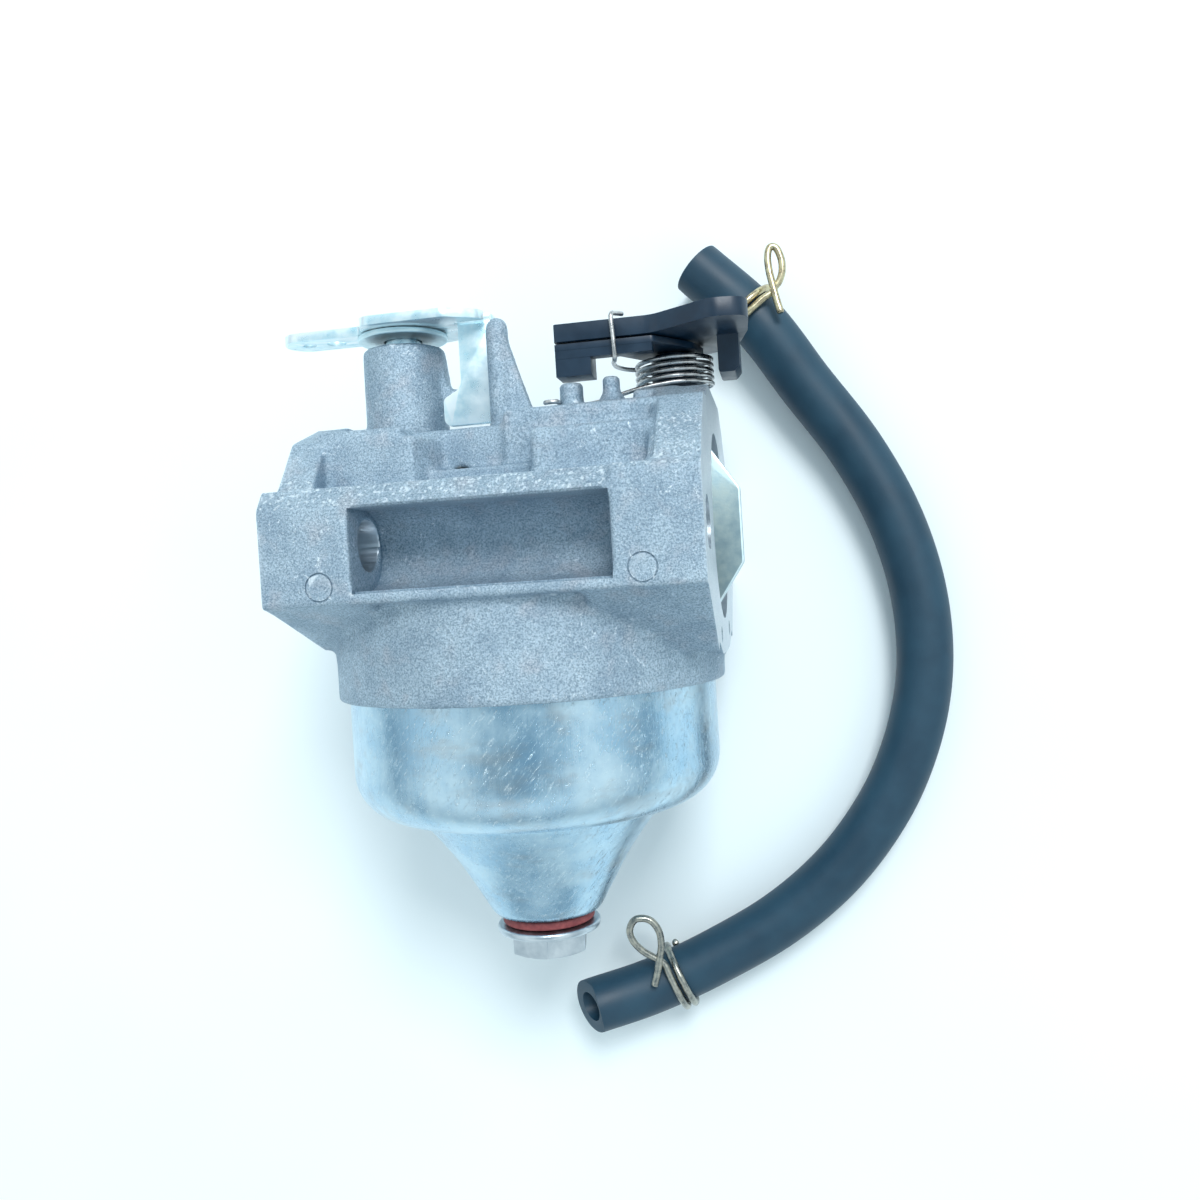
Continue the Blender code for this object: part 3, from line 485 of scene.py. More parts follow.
def rod(name, start, stop, radius, stop_radius=None, sides=48):
    """A round rod or cone between two points."""
    start, stop = Vector(start), Vector(stop)
    along = stop - start
    shape = bmesh.new()
    turn = along.to_track_quat("Z", "Y").to_matrix().to_4x4()
    bmesh.ops.create_cone(
        shape, cap_ends=True, segments=sides, radius1=radius,
        radius2=radius if stop_radius is None else stop_radius, depth=along.length,
        matrix=Matrix.Translation((start + stop) / 2) @ turn,
    )
    return from_shape(name, shape)


def smooth_path(points, per_span=12):
    """Many points on a smooth curve through a few."""
    points = [Vector(p) for p in points]
    nodes = [2 * points[0] - points[1], *points, 2 * points[-1] - points[-2]]
    found = []
    for before, start, stop, after in zip(nodes, nodes[1:], nodes[2:], nodes[3:]):
        for step in range(per_span):
            t = step / per_span
            found.append(0.5 * (
                2 * start + (stop - before) * t + (2 * before - 5 * start + 4 * stop - after) * t * t
                + (3 * start - before - 3 * stop + after) * t ** 3
            ))
    return [*found, nodes[-2]]


def path_frames(path):
    """The direction and one steady side direction at each point of a path."""
    ways = []
    for i in range(len(path)):
        ways.append((path[min(i + 1, len(path) - 1)] - path[max(i - 1, 0)]).normalized())
    side = ways[0].orthogonal().normalized()
    frames = []
    for way in ways:
        side = (side - way * side.dot(way)).normalized()
        frames.append((way, side))
    return frames


def tube(name, path, radius, sides=16, bore=0.0, lip=0.0, slant=0.0):
    """A round tube along a path: solid with domed ends, or hollow with a small rounded lip.

    slant leans a hollow tube's last cut back towards +Z, as millimetres back per millimetre up.
    """
    shape = bmesh.new()
    frames = path_frames(path)

    def ring(point, frame, size):
        way, side = frame
        other = way.cross(side)
        made = []
        for i in range(sides):
            angle = 2 * math.pi * i / sides
            made.append(shape.verts.new(point + size * (math.cos(angle) * side + math.sin(angle) * other)))
        return made

    def bridge(first, second):
        for i in range(sides):
            j = (i + 1) % sides
            shape.faces.new((first[i], first[j], second[j], second[i]))

    def ended(point, frame, sign, size):
        """Rings that round an end over, from the outside in."""
        way = frame[0]
        drop = lip if bore else size * 0.5
        rings = []
        for step in range(1, 4):
            turn = math.pi / 2 * step / 3
            inset = drop * (1 - math.cos(turn))
            rings.append(ring(point + way * sign * (drop * math.sin(turn) - drop), frame, size - inset))
        return rings

    outer = [ring(point, frame, radius) for point, frame in zip(path[1:-1], frames[1:-1])]
    first = ended(path[0], frames[0], -1, radius)
    last = ended(path[-1], frames[-1], 1, radius)
    line = [*reversed(first), *outer, *last]
    if bore:
        inner = [ring(point, frame, bore) for point, frame in zip(path, frames)]
        for corner in (corner for group in (*last, inner[-1]) for corner in group):
            corner.co -= frames[-1][0] * slant * (corner.co - path[-1]).z
        line = [*line, *reversed(inner)]
        for one, other in zip(line, [*line[1:], line[0]]):
            bridge(one, other)
    else:
        for one, other in zip(line, line[1:]):
            bridge(one, other)
        shape.faces.new(line[0])
        shape.faces.new(line[-1])
    return from_shape(name, shape)


def settle(made, look, body, replaced=(), sharp=35):
    """Lay a finished shape in the row frame, with its material, body and CAD nodes."""
    made.data.transform(TO_ROW)
    return dress(made, look, body, replaced, sharp)


def dress(made, look, body, replaced=(), sharp=35):
    if look is not None:
        made.data.materials.clear()
        made.data.materials.append(look)
    made.data.shade_smooth()
    made.data.set_sharp_from_angle(angle=math.radians(sharp))
    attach(made, body)
    if replaced:
        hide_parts(*replaced)
    return made


# ---------------------------------------------------------------- hose and clips

HOSE_RADIUS = 0.0042
HOSE_BORE = 0.0023
HOSE_ROUTE = [
    (0.0251, 0.0544, 0.0056), (0.0341, 0.0448, 0.0065), (0.0409, 0.0347, 0.0052),
    (0.0475, 0.0249, 0.0045), (0.0523, 0.0152, 0.0044), (0.0552, 0.0058, 0.0044),
    (0.0564, -0.0035, 0.0044), (0.0559, -0.0127, 0.0044), (0.0535, -0.0219, 0.0044),
    (0.0491, -0.0311, 0.0044), (0.0420, -0.0404, 0.0044), (0.0328, -0.0482, 0.0045),
    (0.0220, -0.0542, 0.0052), (0.0116, -0.0584, 0.0070), (0.0020, -0.0605, 0.0104),
]
CLIP_WIRE = 0.00055
CLIP_RADIUS = HOSE_RADIUS + CLIP_WIRE + 0.00005


def clip(name, place, along, look, lean, length, width):
    """A wire clip: nearly two turns round the hose, whose end lifts off over the top into a long eye."""
    up = (Vector((0, 0, 1)) - along * along.z).normalized()
    side = along.cross(up)
    if side.y < 0:
        side = -side
    points = []
    steps, turns, pitch, first_angle = 40, 1.72, 0.0014, math.radians(-25)
    for step in range(int(steps * turns) + 1):
        angle = first_angle - 2 * math.pi * step / steps
        drift = pitch * (step / steps - turns / 2)
        points.append(place + CLIP_RADIUS * (math.cos(angle) * side + math.sin(angle) * up) + along * drift)
    start = points[-1]
    heading = (points[-1] - points[-2]).normalized()
    out = (side * math.cos(lean) + along * math.sin(lean)).normalized()
    eye = [(-0.05, 0.0), (0.12, 0.15), (0.35, 0.40), (0.62, 0.52), (0.86, 0.40), (1.0, 0.0), (0.88, -0.42),
           (0.62, -0.50), (0.34, -0.30), (0.08, 0.06), (-0.16, 0.42), (-0.34, 0.74)]
    root = start + heading * 0.0035
    loop = [root + out * a * length + along * b * width + up * 0.0009 * (i / len(eye)) ** 2
            for i, (a, b) in enumerate(eye)]
    points = [*points, *smooth_path([start, start + heading * 0.0017, *loop], 6)[1:]]
    made = tube(name, points, CLIP_WIRE, sides=12)
    return dress(made, look, "root", (name.replace("_wire", ""),))


def make_hose(looks):
    """The fuel hose with its open bore, and its two clips."""
    path = smooth_path(HOSE_ROUTE)
    hose = tube("rubber_hose", path, HOSE_RADIUS, sides=48, bore=HOSE_BORE, lip=0.00025,
                slant=0.4)
    dress(hose, looks["hose"], "root", ("fuel_hose",))
    for name, index, look, slot, lean, long, wide in (
        ("hose_clip_upper_wire", 10, "chromate", "chromate_wire", -0.7, 0.0062, 0.0030),
        ("hose_clip_lower_wire", len(path) - 18, "tarnished", "spring_wire", 0.15, 0.0078, 0.0042),
    ):
        along = (path[index + 1] - path[index]).normalized()
        clip(name, path[index], along, looks[look], lean, long, wide)


# ---------------------------------------------------------------- casting

VOXEL = 0.3
CAST_FILLET = 0.55
CAST_EDGE = 0.3
DRAWN_OUT = 1.5  # how far the CAD body's end faces are moved out, to be cut flat afterwards
OVERRUN = 1.4  # how far the added masses pass where those faces were
SKIRT_RADIUS = 26.9
STUD_Y, STUD_Z, STUD_RADIUS = 21.5, -0.4, 3.25
THROTTLE_BORE, THROTTLE_BORE_END = 9.02, -7.5
AIR_BORE, AIR_BORE_START = 12.62, 10.5
WINDOW_LOW, WINDOW_HIGH = -14.55, 16.75
TROUGH_Y, TROUGH_Z, TROUGH_RADIUS = 22.4, -1.1, 4.95
EJECTOR_Z, EJECTOR_RADIUS = -5.3, 1.78


def level_set(points, triangles, quads, reach):
    transform = openvdb.createLinearTransform(voxelSize=VOXEL)
    return openvdb.FloatGrid.createLevelSetFromPolygons(
        points.astype(np.float32), triangles=triangles.astype(np.uint32), quads=quads.astype(np.uint32),
        transform=transform, halfWidth=reach,
    )


def grown(points, triangles, quads, amount, adaptivity=0.0):
    """A closed surface moved outwards by an amount, or inwards when it is negative."""
    reach = abs(amount) / VOXEL + 3
    grid = level_set(points, triangles, quads, reach)
    return grid.convertToPolygons(isovalue=amount, adaptivity=adaptivity)


def rounded_cast(name, source):
    """source as it comes out of a die: every inner corner filled, every outer edge eased."""
    mesh = source.data
    mesh.calc_loop_triangles()
    points = np.empty(len(mesh.vertices) * 3, np.float32)
    mesh.vertices.foreach_get("co", points)
    triangles = np.empty(len(mesh.loop_triangles) * 3, np.int32)
    mesh.loop_triangles.foreach_get("vertices", triangles)
    surface = (points.reshape(-1, 3), triangles.reshape(-1, 3), np.zeros((0, 4), np.int32))
    surface = grown(*surface, CAST_FILLET)
    surface = grown(*surface, -CAST_FILLET - CAST_EDGE)
    points, triangles, quads = grown(*surface, CAST_EDGE, adaptivity=0.01)
    faces = [tuple(int(i) for i in reversed(face)) for face in (*triangles, *quads)]
    made = bpy.data.meshes.new(name)
    made.from_pydata(points.tolist(), [], faces)
    return new_object(name, made)


def cast_source():
    """The CAD body in working millimetres, with masses added and the space under the engine flange cut.

    Its machined ends are drawn out, so that rounding leaves them whole when they are cut back.
    """
    mesh = frame["nodes"]["carb_body"].data.copy()
    mesh.transform(TO_WORK)
    for corner in mesh.vertices:
        spot = corner.co
        if abs(spot.x - AIR_X) < 0.01:
            spot.x += DRAWN_OUT
        elif abs(spot.x - ENGINE_X) < 0.01:
            spot.x -= DRAWN_OUT
    shape = bmesh.new()
    shape.from_mesh(mesh)
    bmesh.ops.remove_doubles(shape, verts=shape.verts, dist=0.0005)
    shape.to_mesh(mesh)
    shape.free()
    under = prism("under", [
        (-32.0, -7.9), (-26.2, -7.9), (-11.1, -13.6), (11.1, -13.6),
        (26.2, -7.9), (32.0, -7.9), (32.0, -24.0), (-32.0, -24.0),
    ], ENGINE_X - 3, -12.0, "YZ")
    combine(under, "DIFFERENCE", rod("drum", (0, 0, -30), (0, 0, 0), SKIRT_RADIUS, sides=128))
    source = combine(new_object("cast_source", mesh), "UNION", *cast_masses())
    return combine(source, "DIFFERENCE", under)


def cast_masses():
    """Masses that the plain body lacks: a pilot boss and a pad step, then three kinds on both sides."""
    masses = [
        prism("pilot", [
            (-23.4, -17.2), (-9.8, -17.2), (-7.2, -12.8), (-7.2, -7.0), (-23.4, -7.0),
        ], 6.2, 13.5),
        block("pilot_top", (-23.0, -16.6, 12.0), (-11.4, -7.0, 14.9)),
        block("pad_step", (5.6, -19.3, 5.8), (21.6, -12.0, 7.2)),
    ]
    for side, face in ((-1, FRONT_Y), (1, BACK_Y)):
        web = [(face - side * 0.5, -7.2), (side * 15.0, -7.2), (side * 15.0, -16.4), (side * 19.0, -13.2)]
        for low, high in ((ENGINE_X - OVERRUN, -13.0), (13.0, AIR_X + OVERRUN)):
            masses.append(prism("web", web, low, high, "YZ"))
        masses.append(prism("rail_end", [
            (face + side * 0.02, -2.0), (face + side * 0.02, 6.0), (face - side * 0.5, 6.7),
            (side * 20.0, 6.7), (side * 20.0, -2.0),
        ], 17.0, AIR_X + OVERRUN, "YZ"))
        masses.append(prism("air_slope", [
            (face + side * 0.02, -2.0), (face + side * 0.02, 2.6), (side * 25.6, 8.4), (side * 17.4, 15.6),
            (side * 12.0, 15.6), (side * 12.0, -2.0),
        ], 21.8, AIR_X + OVERRUN, "YZ"))
    return masses


def uneven(made, depth=0.05, size=4.0):
    """Move a surface in and out a little, as cast skin is."""
    mesh = made.data
    count = len(mesh.vertices)
    places, normals = np.empty(count * 3, np.float32), np.empty(count * 3, np.float32)
    mesh.vertices.foreach_get("co", places)
    mesh.vertex_normals.foreach_get("vector", normals)
    places, normals = places.reshape(-1, 3), normals.reshape(-1, 3)
    rise = np.array([noise.noise(Vector(place) / size) for place in places], np.float32)
    mesh.vertices.foreach_set("co", (places + normals * (depth * rise)[:, None]).ravel())
    mesh.update()


def machined_tools():
    """Cutters for the flat faces, the bores, the side windows and the round marks of the ejector pins."""
    throttle, choke = THROTTLE_X, CHOKE_X
    tools = [
        block("engine_facing", (ENGINE_X - 5, -40, -40), (ENGINE_X, 40, 40)),
        block("air_facing", (AIR_X, -40, -40), (AIR_X + 5, 40, 40)),
        rod("front_stud", (-40, -STUD_Y, STUD_Z), (40, -STUD_Y, STUD_Z), STUD_RADIUS),
        rod("back_stud", (-40, STUD_Y, STUD_Z), (40, STUD_Y, STUD_Z), STUD_RADIUS),
        rod("throttle_bore", (-40, 0, 0), (THROTTLE_BORE_END, 0, 0), THROTTLE_BORE, sides=96),
        rod("air_bore", (AIR_BORE_START, 0, 0), (40, 0, 0), AIR_BORE, sides=96),
        rod("throttle_hole", (throttle, 0, -12.6), (throttle, 0, 40), 2.75),
        rod("choke_hole", (choke, 0, -14.4), (choke, 0, 25), 2.5),
        rod("seal_seat", (throttle, 0, 26.2), (throttle, 0, 40), 4.2),
        rod("pilot_bore", (-4.8, -14.0, 8.0), (-4.8, -6.0, 8.0), 1.45),
    ]
    for side in (-1, 1):
        trough = []
        for degrees in range(90, 271, 6):
            angle = math.radians(degrees)
            trough.append((side * (TROUGH_Y + TROUGH_RADIUS * math.cos(angle)),
                           TROUGH_Z + TROUGH_RADIUS * math.sin(angle)))
        trough = [(side * 30.0, TROUGH_Z + TROUGH_RADIUS), *trough, (side * 30.0, TROUGH_Z - TROUGH_RADIUS)]
        tools.append(prism("window", trough, WINDOW_LOW, WINDOW_HIGH, "YZ"))
        lip = side * 28.6
        tools.append(block("lip", (WINDOW_LOW, lip - 1.6, -6.35), (WINDOW_HIGH, lip + 1.6, -5.6)))
    ring = EJECTOR_RADIUS - 0.2
    for x in (-18.6, 20.2):
        for y, out in ((FRONT_Y, -1), (BACK_Y, 1)):
            profile = [(EJECTOR_RADIUS, y + out), (EJECTOR_RADIUS, y - out * 0.16), (ring, y - out * 0.16),
                       (ring, y + out)]
            tools.append(lathe("ejector_mark", profile, 48, (x, 0, EJECTOR_Z), "Y", closed=True))
    return tools


def make_casting(looks):
    """The die-cast body, with cast skin, coarser skin on the rail and machined faces."""
    source = cast_source()
    body = rounded_cast("body_casting", source)
    bpy.data.objects.remove(source, do_unlink=True)
    uneven(body)
    combine(body, "DIFFERENCE", *machined_tools())
    mesh = body.data
    mesh.materials.clear()
    for name in ("cast", "coarse", "machined"):
        mesh.materials.append(looks[name])
    for face in mesh.polygons:
        face.material_index = cast_kind(face.center, face.normal)
    return settle(body, None, "root", ("carb_body",), sharp=30)


def cast_kind(spot, normal):
    """Which of the casting's three skins a face has: 0 cast, 1 coarse, 2 machined."""
    bore = math.hypot(spot.y, spot.z)
    if abs(normal.x) > 0.99 and (spot.x > AIR_X - 0.01 or spot.x < ENGINE_X + 0.01):
        return 2
    if spot.x < THROTTLE_BORE_END and abs(bore - THROTTLE_BORE) < 0.05:
        return 2
    if spot.x > AIR_BORE_START and abs(bore - AIR_BORE) < 0.05:
        return 2
    if abs(math.hypot(abs(spot.y) - STUD_Y, spot.z - STUD_Z) - STUD_RADIUS) < 0.04:
        return 2
    if abs(spot.y) > 21 and spot.z > 3.6 and normal.z > 0.25 and abs(normal.y) > 0.2:
        return 1
    return 0


# ---------------------------------------------------------------- bowl and bolt

BOWL_RIM_Z, BOWL_FLOOR_Z = -18.8, -52.2


def make_bowl(looks):
    """Drawn steel bowl: straight wall, round shoulder, a crease, then a hollow cone to its flat foot."""
    shoulder = filleted([(25.5, BOWL_RIM_Z), (25.5, -36.9, 6.4), (17.2, -37.1)], steps=14)[:-1]
    crease = smooth_path([(18.2, -37.05, 0), (17.6, -37.35, 0), (17.1, -37.8, 0)], 3)
    cone = smooth_path([(17.1, -37.8, 0), (14.9, -40.5, 0), (12.2, -44.2, 0), (9.7, -48.4, 0),
                        (8.0, -51.4, 0)], 6)
    foot = [(7.5, -52.05), (6.9, BOWL_FLOOR_Z)]
    outer = [*shoulder, *[(p.x, p.y) for p in (*crease, *cone[1:])], *foot]
    wall = 0.8
    inner = [(6.2, BOWL_FLOOR_Z + wall), (8.8, -48.2), (11.4, -43.8), (16.2, -37.2), (19.6, -36.1),
             (22.8, -34.5), (24.4, -31.9), (24.7, -29.4), (24.7, BOWL_RIM_Z)]
    profile = [*outer, (3.7, BOWL_FLOOR_Z), (3.7, BOWL_FLOOR_Z + wall), *inner]
    bowl = lathe("zinc_bowl", profile, 192, closed=True)
    return settle(bowl, looks["bowl"], "root", ("float_bowl",), sharp=40)


def make_bolt(looks):
    """Flanged hexagon bolt with a washer face, chamfered head and a dished end."""
    top = BOWL_FLOOR_Z - 1.7
    profile = filleted([(0, -44.2), (3.0, -44.2, 0.4), (3.0, top), (7.3, top, 0.35), (7.3, top - 1.0, 0.45),
                        (0, top - 1.35)], 4)
    bolt = lathe("hex_bolt", profile, 96)
    corner = 10.0 / math.sqrt(3)
    corners = [(corner * math.cos(math.radians(60 * i - 81)), corner * math.sin(math.radians(60 * i - 81)))
               for i in range(6)]
    head = prism("head", corners, top - 4.1, top - 0.4)
    dome = lathe("dome", [(0, top + 1), (8, top + 1), (8, top - 3.0), (4.9, top - 4.1), (3.4, top - 4.1),
                          (2.9, top - 3.5), (0, top - 3.4)], 96)
    combine(head, "INTERSECT", dome)
    soften(head, 0.18, 2)
    combine(bolt, "UNION", head)
    settle(bolt, looks["bolt"], "root", ("bowl_bolt",), sharp=32)
    rim = filleted([(6.5, -52.5, 0.25), (6.5, -53.6, 0.25), (3.6, -53.6), (3.6, -52.5)], 4)
    washer = lathe("fibre_ring", rim, 96, closed=True)
    settle(washer, looks["fibre"], "root", ("bowl_washer",))


# ---------------------------------------------------------------- throttle

LEVER_LOW, LEVER_TOP = 30.4, 31.6


def make_throttle_lever(looks):
    """Stamped lever with a tongue, and a stop tab bent down through a round corner."""
    x = THROTTLE_X
    shape = [
        (-17.7, 3.3, 3.2), (-17.7, -3.3, 3.2), (-5.0, -3.3, 1.2), (-3.2, -8.3, 2.0), (8.6, -8.3, 2.5),
        (13.0, -5.6, 2.0), (13.9, -2.4, 1.0), (13.9, 0.5, 1.5), (10.0, 4.6, 3.0), (4.0, 6.6, 3.0),
        (-2.0, 6.2, 3.0), (-5.4, 3.3, 1.5),
    ]
    plate = prism("stamped_throttle_lever", filleted([(x + a, b, *r) for a, b, *r in shape], 6),
                  LEVER_LOW, LEVER_TOP)
    bend = filleted([(1.0, 31.58), (-3.58, 31.58, 1.5), (-3.58, 16.0), (-2.42, 16.0), (-2.42, 30.42, 0.4),
                     (1.0, 30.42)], 8)
    strip = prism("strip", bend, x + 6.0, x + 14.5, "YZ")
    tab = filleted([
        (9.3, 33.0), (9.3, 21.6, 1.6), (6.6, 20.2, 1.0), (6.6, 16.4, 1.0), (13.88, 16.4, 1.0), (13.88, 33.0),
    ], 6)
    combine(strip, "INTERSECT", prism("tab", [(x + a, b) for a, b in tab], -6, 3, "XZ"))
    combine(plate, "DIFFERENCE", block("clearance", (x + 8.9, -4.4, 29), (x + 16, -3.0, 33)))
    combine(plate, "UNION", strip)
    for a, b, radius in ((-14.3, 0.0, 0.95), (-10.2, 0.2, 1.4), (0.0, 0.0, 2.75)):
        combine(plate, "DIFFERENCE", rod("hole", (x + a, b, 29), (x + a, b, 33), radius))
    soften(plate, 0.16, 2)
    return settle(plate, looks["zinc"], "throttle", ("throttle_lever",), sharp=40)


def make_throttle_shaft(looks):
    """Plated shaft with a flat and a riveted head, and the collar under the lever."""
    x = THROTTLE_X
    profile = filleted([
        (0, 32.7), (2.9, 32.6, 0.6), (3.3, 31.9, 0.2), (2.45, 31.9), (2.45, -12.2, 0.4), (0, -12.2),
    ], 5)
    shaft = lathe("plated_throttle_shaft", profile, 64, (x, 0, 0))
    combine(shaft, "DIFFERENCE", block("flat", (x - 4, -4, -9.4), (x + 0.15, 4, 9.4)))
    for z in (-4.2, 4.2):
        combine(shaft, "DIFFERENCE", rod("hole", (x - 4, 0, z), (x + 4, 0, z), 1.4, sides=24))
    settle(shaft, looks["bright"], "throttle", ("throttle_shaft",))
    rim = filleted([(6.4, 30.3, 0.3), (6.4, 29.5, 0.3), (2.75, 29.5), (2.75, 30.3)], 4)
    collar = lathe("throttle_washer", rim, 96, (x, 0, 0), closed=True)
    settle(collar, looks["pale"], "throttle", ("throttle_collar",))


# ---------------------------------------------------------------- choke

def make_choke_lever(looks):
    """Moulded black lever: long flat arm, swept rounded arm, stop lug and hub."""
    x = CHOKE_X
    shape = [
        (-14.6, -10.2, 0.5), (-1.6, -10.2, 4.0), (6.2, -15.4, 3.0), (10.8, -14.6, 2.4), (10.4, -6.0, 6.0),
        (9.2, 0.6, 3.0), (5.6, 6.2, 4.0), (-1.2, 7.6, 4.0), (-6.4, 4.8, 3.0), (-7.4, -3.2, 1.5),
        (-9.0, -5.4, 1.0), (-14.6, -5.4, 0.5),
    ]
    lever = prism("moulded_choke_lever", filleted([(x + a, b, *r) for a, b, *r in shape], 7), 24.9, 27.2)
    side = filleted([(6.3, 25.4), (6.3, 20.0, 0.4), (8.4, 20.0, 0.4), (9.1, 20.8, 0.4), (9.1, 25.4)], 3)
    lug = prism("lug", side, -5.0, 1.6, "XZ")
    lug.data.transform(Matrix.Translation((x, 0, 0)))
    combine(lever, "UNION", lug)
    combine(lever, "UNION", rod("cap", (x, 0, 26.9), (x, 0, 27.75), 3.6, 3.3))
    combine(lever, "DIFFERENCE", rod("hub_hole", (x, 0, 24), (x, 0, 29), 2.5))
    soften(lever, 0.28, 3)
    settle(lever, looks["plastic"], "choke", ("choke_lever",), sharp=40)


def make_relief_arm(looks):
    """Lower moulding: an end block on the deck's stop, a rim along the front, an eye on the shaft."""
    x = CHOKE_X
    shape = [(-14.6, -10.0, 0.3), (-1.6, -10.0, 0.8), (3.0, -3.6, 2.0), (4.3, 1.8, 2.0), (1.0, 4.4, 2.5),
             (-3.4, 2.8, 2.0), (-8.6, -5.6, 1.0), (-14.6, -5.6, 0.3)]
    arm = prism("moulded_relief_arm", filleted([(x + a, b, *r) for a, b, *r in shape], 6), 23.8, 24.6)
    rim = block("rim", (x - 14.52, -9.95, 22.7), (x - 1.8, -8.0, 24.4))
    end = block("end", (x - 14.55, -9.9, 20.4), (x - 9.9, -5.7, 24.35))
    combine(arm, "UNION", rim, end)
    combine(arm, "DIFFERENCE", rod("eye", (x, 0, 22), (x, 0, 26), 2.5))
    soften(arm, 0.22, 3)
    settle(arm, looks["plastic"], "choke", ("choke_relief_arm",), sharp=40)


def make_choke_shaft(looks):
    """Shaft with the hub that the spring sits round, and its plate with a rolled bright edge."""
    x = CHOKE_X
    profile = filleted([(0, 27.4), (2.2, 27.4, 0.3), (2.2, -14.1, 0.3), (0, -14.1)], 3)
    shaft = lathe("plastic_choke_shaft", profile, 64, (x, 0, 0))
    combine(shaft, "DIFFERENCE", block("slot", (x - 4, -0.7, -12.5), (x + 4, 0.7, 12.5)))
    wall = filleted([(3.1, 23.6, 0.3), (3.1, 18.9, 0.3), (1.5, 18.9), (1.5, 23.6)], 3)
    combine(shaft, "UNION", lathe("hub", wall, 64, (x, 0, 0), closed=True))
    settle(shaft, looks["plastic"], "choke", ("choke_shaft",), sharp=40)
    radius, flat = 12.1, 8.0
    angles = [math.radians(72 + 216 * i / 70) for i in range(71)]
    disc = [(radius * math.cos(a), radius * math.sin(a)) for a in angles]
    corners = filleted([*disc, (flat, -5.1, 1.2), (flat, 5.1, 1.2)], 5)
    plate = prism("choke_disc", [(x + a, b) for a, b in corners], -0.4, 0.4, "XZ")
    soften(plate, 0.3, 2, angle=50)
    plate.data.materials.clear()
    for name in ("plate", "pale"):
        plate.data.materials.append(looks[name])
    for face in plate.data.polygons:
        face.material_index = int(abs(face.normal.y) < 0.95)
    settle(plate, None, "choke", ("choke_plate",), sharp=40)


def make_choke_spring(looks):
    """Torsion spring of bright wire, its legs hooked on the deck's stop and over the lever."""
    coil_radius, low, pitch, turns, steps = 5.1, 19.3, 0.84, 4.5, 40
    lower_leg = smooth_path([
        (-16.2, -10.0, 17.2), (-15.9, -10.9, 17.1), (-14.9, -11.0, 17.1), (-14.4, -10.2, 17.1),
        (-14.7, -7.4, 17.1), (-13.4, -6.1, 17.1), (-10.0, -5.8, 17.4), (-5.0, -5.5, 18.6), (-2.0, -5.3, 19.1),
    ], 6)[:-1]
    coil = []
    for step in range(int(turns * steps) + 1):
        angle = math.radians(270) + 2 * math.pi * step / steps
        coil.append(Vector((coil_radius * math.cos(angle), coil_radius * math.sin(angle),
                            low + pitch * step / steps)))
    upper_leg = smooth_path([
        (-3.4, 5.0, 23.1), (-6.4, 2.2, 22.9), (-7.6, -2.0, 22.6), (-7.3, -7.0, 22.1), (-6.7, -10.1, 21.9),
        (-6.55, -10.85, 22.3), (-6.6, -10.95, 24.5), (-6.75, -10.95, 26.9), (-6.7, -10.7, 27.7),
        (-6.3, -9.8, 27.95), (-5.4, -9.0, 27.95),
    ], 6)
    points = [Vector((CHOKE_X, 0, 0)) + Vector(p) for p in (*lower_leg, *coil, *upper_leg)]
    spring = tube("wire_choke_spring", points, 0.31, sides=14)
    spring.data.transform(TO_ROW)
    spring.data.materials.append(looks["wire"])
    spring.data.shade_smooth()
    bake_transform(spring)
    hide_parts("choke_spring")


# ---------------------------------------------------------------- floor and light

def make_floor():
    """A plain pale table under the object."""
    shape = bmesh.new()
    bmesh.ops.create_grid(shape, x_segments=2, y_segments=2, size=1.5)
    floor = from_shape("floor", shape)
    look = Look("floor_look")
    cloud = look.noise(60.0, detail=2)
    colour = look.mix(look.ramp(cloud, 0.3, 0.7), (0.83, 0.91, 0.935), (0.86, 0.93, 0.95))
    floor.data.materials.append(look.finish(colour))
    look.shader.inputs["Roughness"].default_value = 0.6


def area_light(name, place, aim, size, power, colour):
    light = bpy.data.lights.new(name, "AREA")
    light.size = size
    light.energy = power
    light.color = colour
    made = bpy.data.objects.new(name, light)
    made.location = place
    made.rotation_euler = (Vector(aim) - Vector(place)).to_track_quat("-Z", "Y").to_euler()
    bpy.context.collection.objects.link(made)


HORIZON = (0.36, 0.48, 0.55, 1.0)
# Each band: the height (0 level, 1 straight up) where it starts and where it is full, and its colour
SKY_BANDS = [
    (0.0, 0.6, (1.0, 1.12, 1.16, 1.0)),
    (0.72, 0.99, (0.42, 0.56, 0.64, 1.0)),
]
SKY_STRENGTH = 0.95


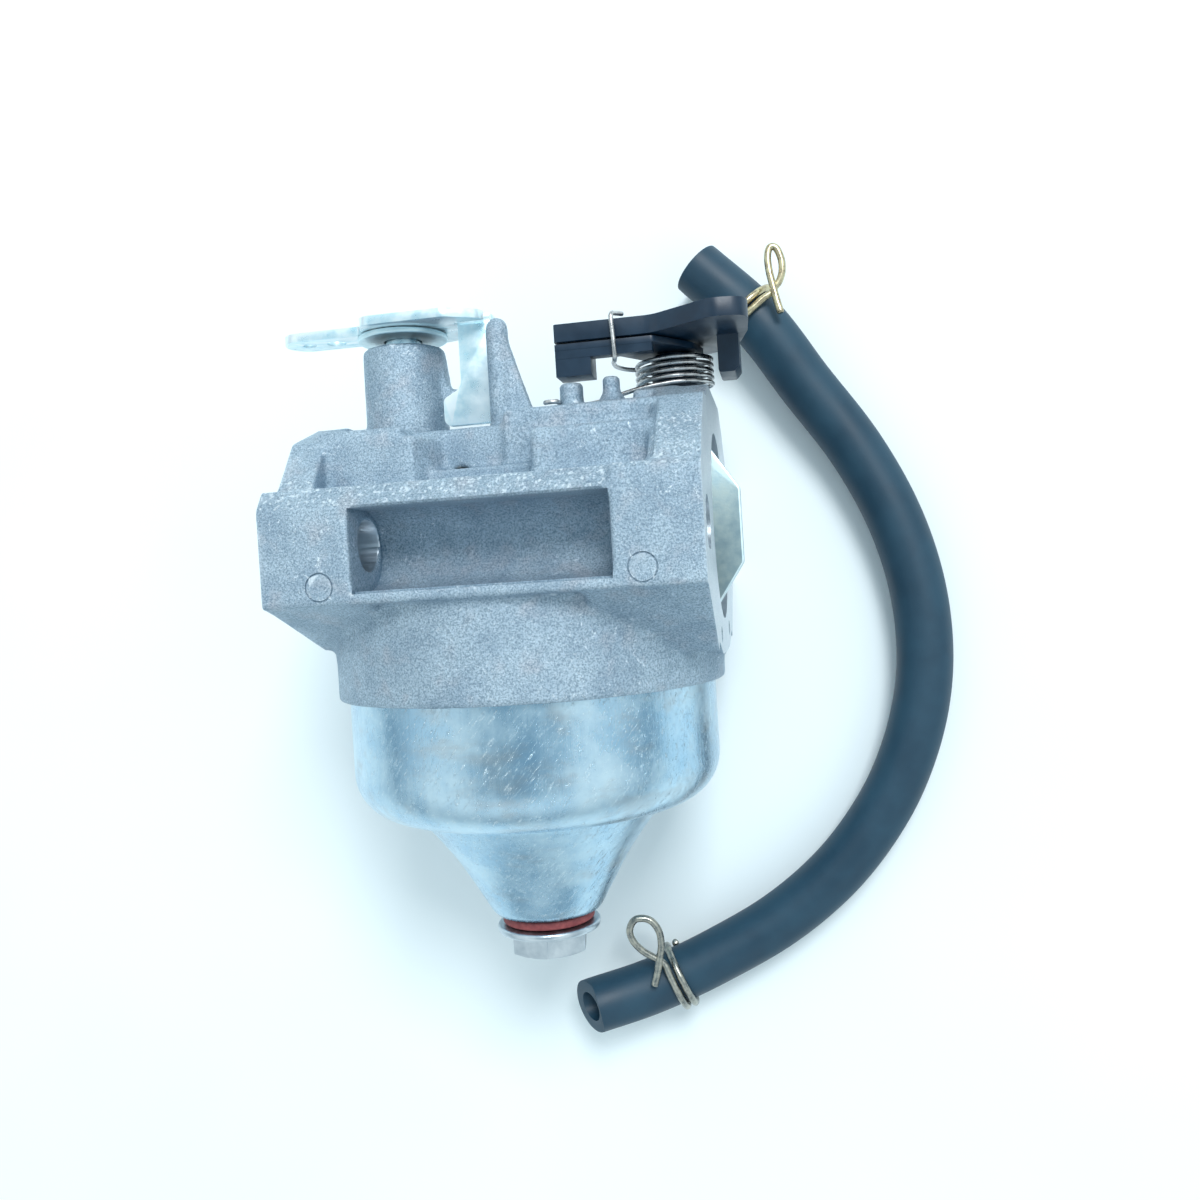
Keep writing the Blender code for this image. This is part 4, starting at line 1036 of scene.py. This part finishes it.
def make_light():
    """A bright cool room with one broad window above and to the right."""
    scene = bpy.context.scene
    scene.view_settings.view_transform = "Standard"
    world = bpy.data.worlds.new("room")
    scene.world = world
    world.use_nodes = True
    nodes, links = world.node_tree.nodes, world.node_tree.links
    height = nodes.new("ShaderNodeSeparateXYZ")
    links.new(nodes.new("ShaderNodeTexCoord").outputs["Generated"], height.inputs[0])
    colour = nodes.new("ShaderNodeRGB").outputs[0]
    colour.default_value = HORIZON
    for low, high, tint in SKY_BANDS:
        share = nodes.new("ShaderNodeMapRange")
        share.interpolation_type = "SMOOTHSTEP"
        share.inputs["From Min"].default_value = low
        share.inputs["From Max"].default_value = high
        links.new(height.outputs["Z"], share.inputs["Value"])
        blend = nodes.new("ShaderNodeMix")
        blend.data_type = "RGBA"
        links.new(share.outputs["Result"], blend.inputs["Factor"])
        links.new(colour, blend.inputs[6])
        blend.inputs[7].default_value = tint
        colour = blend.outputs[2]
    links.new(colour, nodes["Background"].inputs["Color"])
    nodes["Background"].inputs["Strength"].default_value = SKY_STRENGTH
    area_light("window", (0.24, 0.50, 0.75), (0, 0, 0.02), 0.30, 5.6, (0.97, 0.99, 1.0))


# ---------------------------------------------------------------- whole scene

def dress_cad(looks):
    """Materials for the CAD nodes that stay as they are."""
    for node, look in (
        ("bowl_gasket", "rubber"), ("throttle_seal", "felt"), ("float", "float"), ("float_pin", "bright"),
        ("float_needle", "brass"), ("needle_seat", "brass"), ("main_jet", "brass"), ("main_nozzle", "brass"),
        ("bleed_jet_front", "brass"), ("bleed_jet_back", "brass"), ("pilot_jet", "brass"),
        ("expansion_plug", "bright"), ("throttle_plate", "brass"), ("throttle_screw_upper", "bright"),
        ("throttle_screw_lower", "bright"), ("fuel_inlet", "brass"), ("mixture_screw", "brass"),
        ("mixture_spring", "wire"),
    ):
        made = frame["nodes"][node]
        made.data.materials.clear()
        made.data.materials.append(looks[look])
        made.data.shade_smooth()
        made.data.set_sharp_from_angle(angle=math.radians(35))


make_camera()
looks = make_looks()
make_hose(looks)
make_casting(looks)
make_bowl(looks)
make_bolt(looks)
make_throttle_lever(looks)
make_throttle_shaft(looks)
make_choke_lever(looks)
make_relief_arm(looks)
make_choke_shaft(looks)
make_choke_spring(looks)
dress_cad(looks)
make_floor()
make_light()
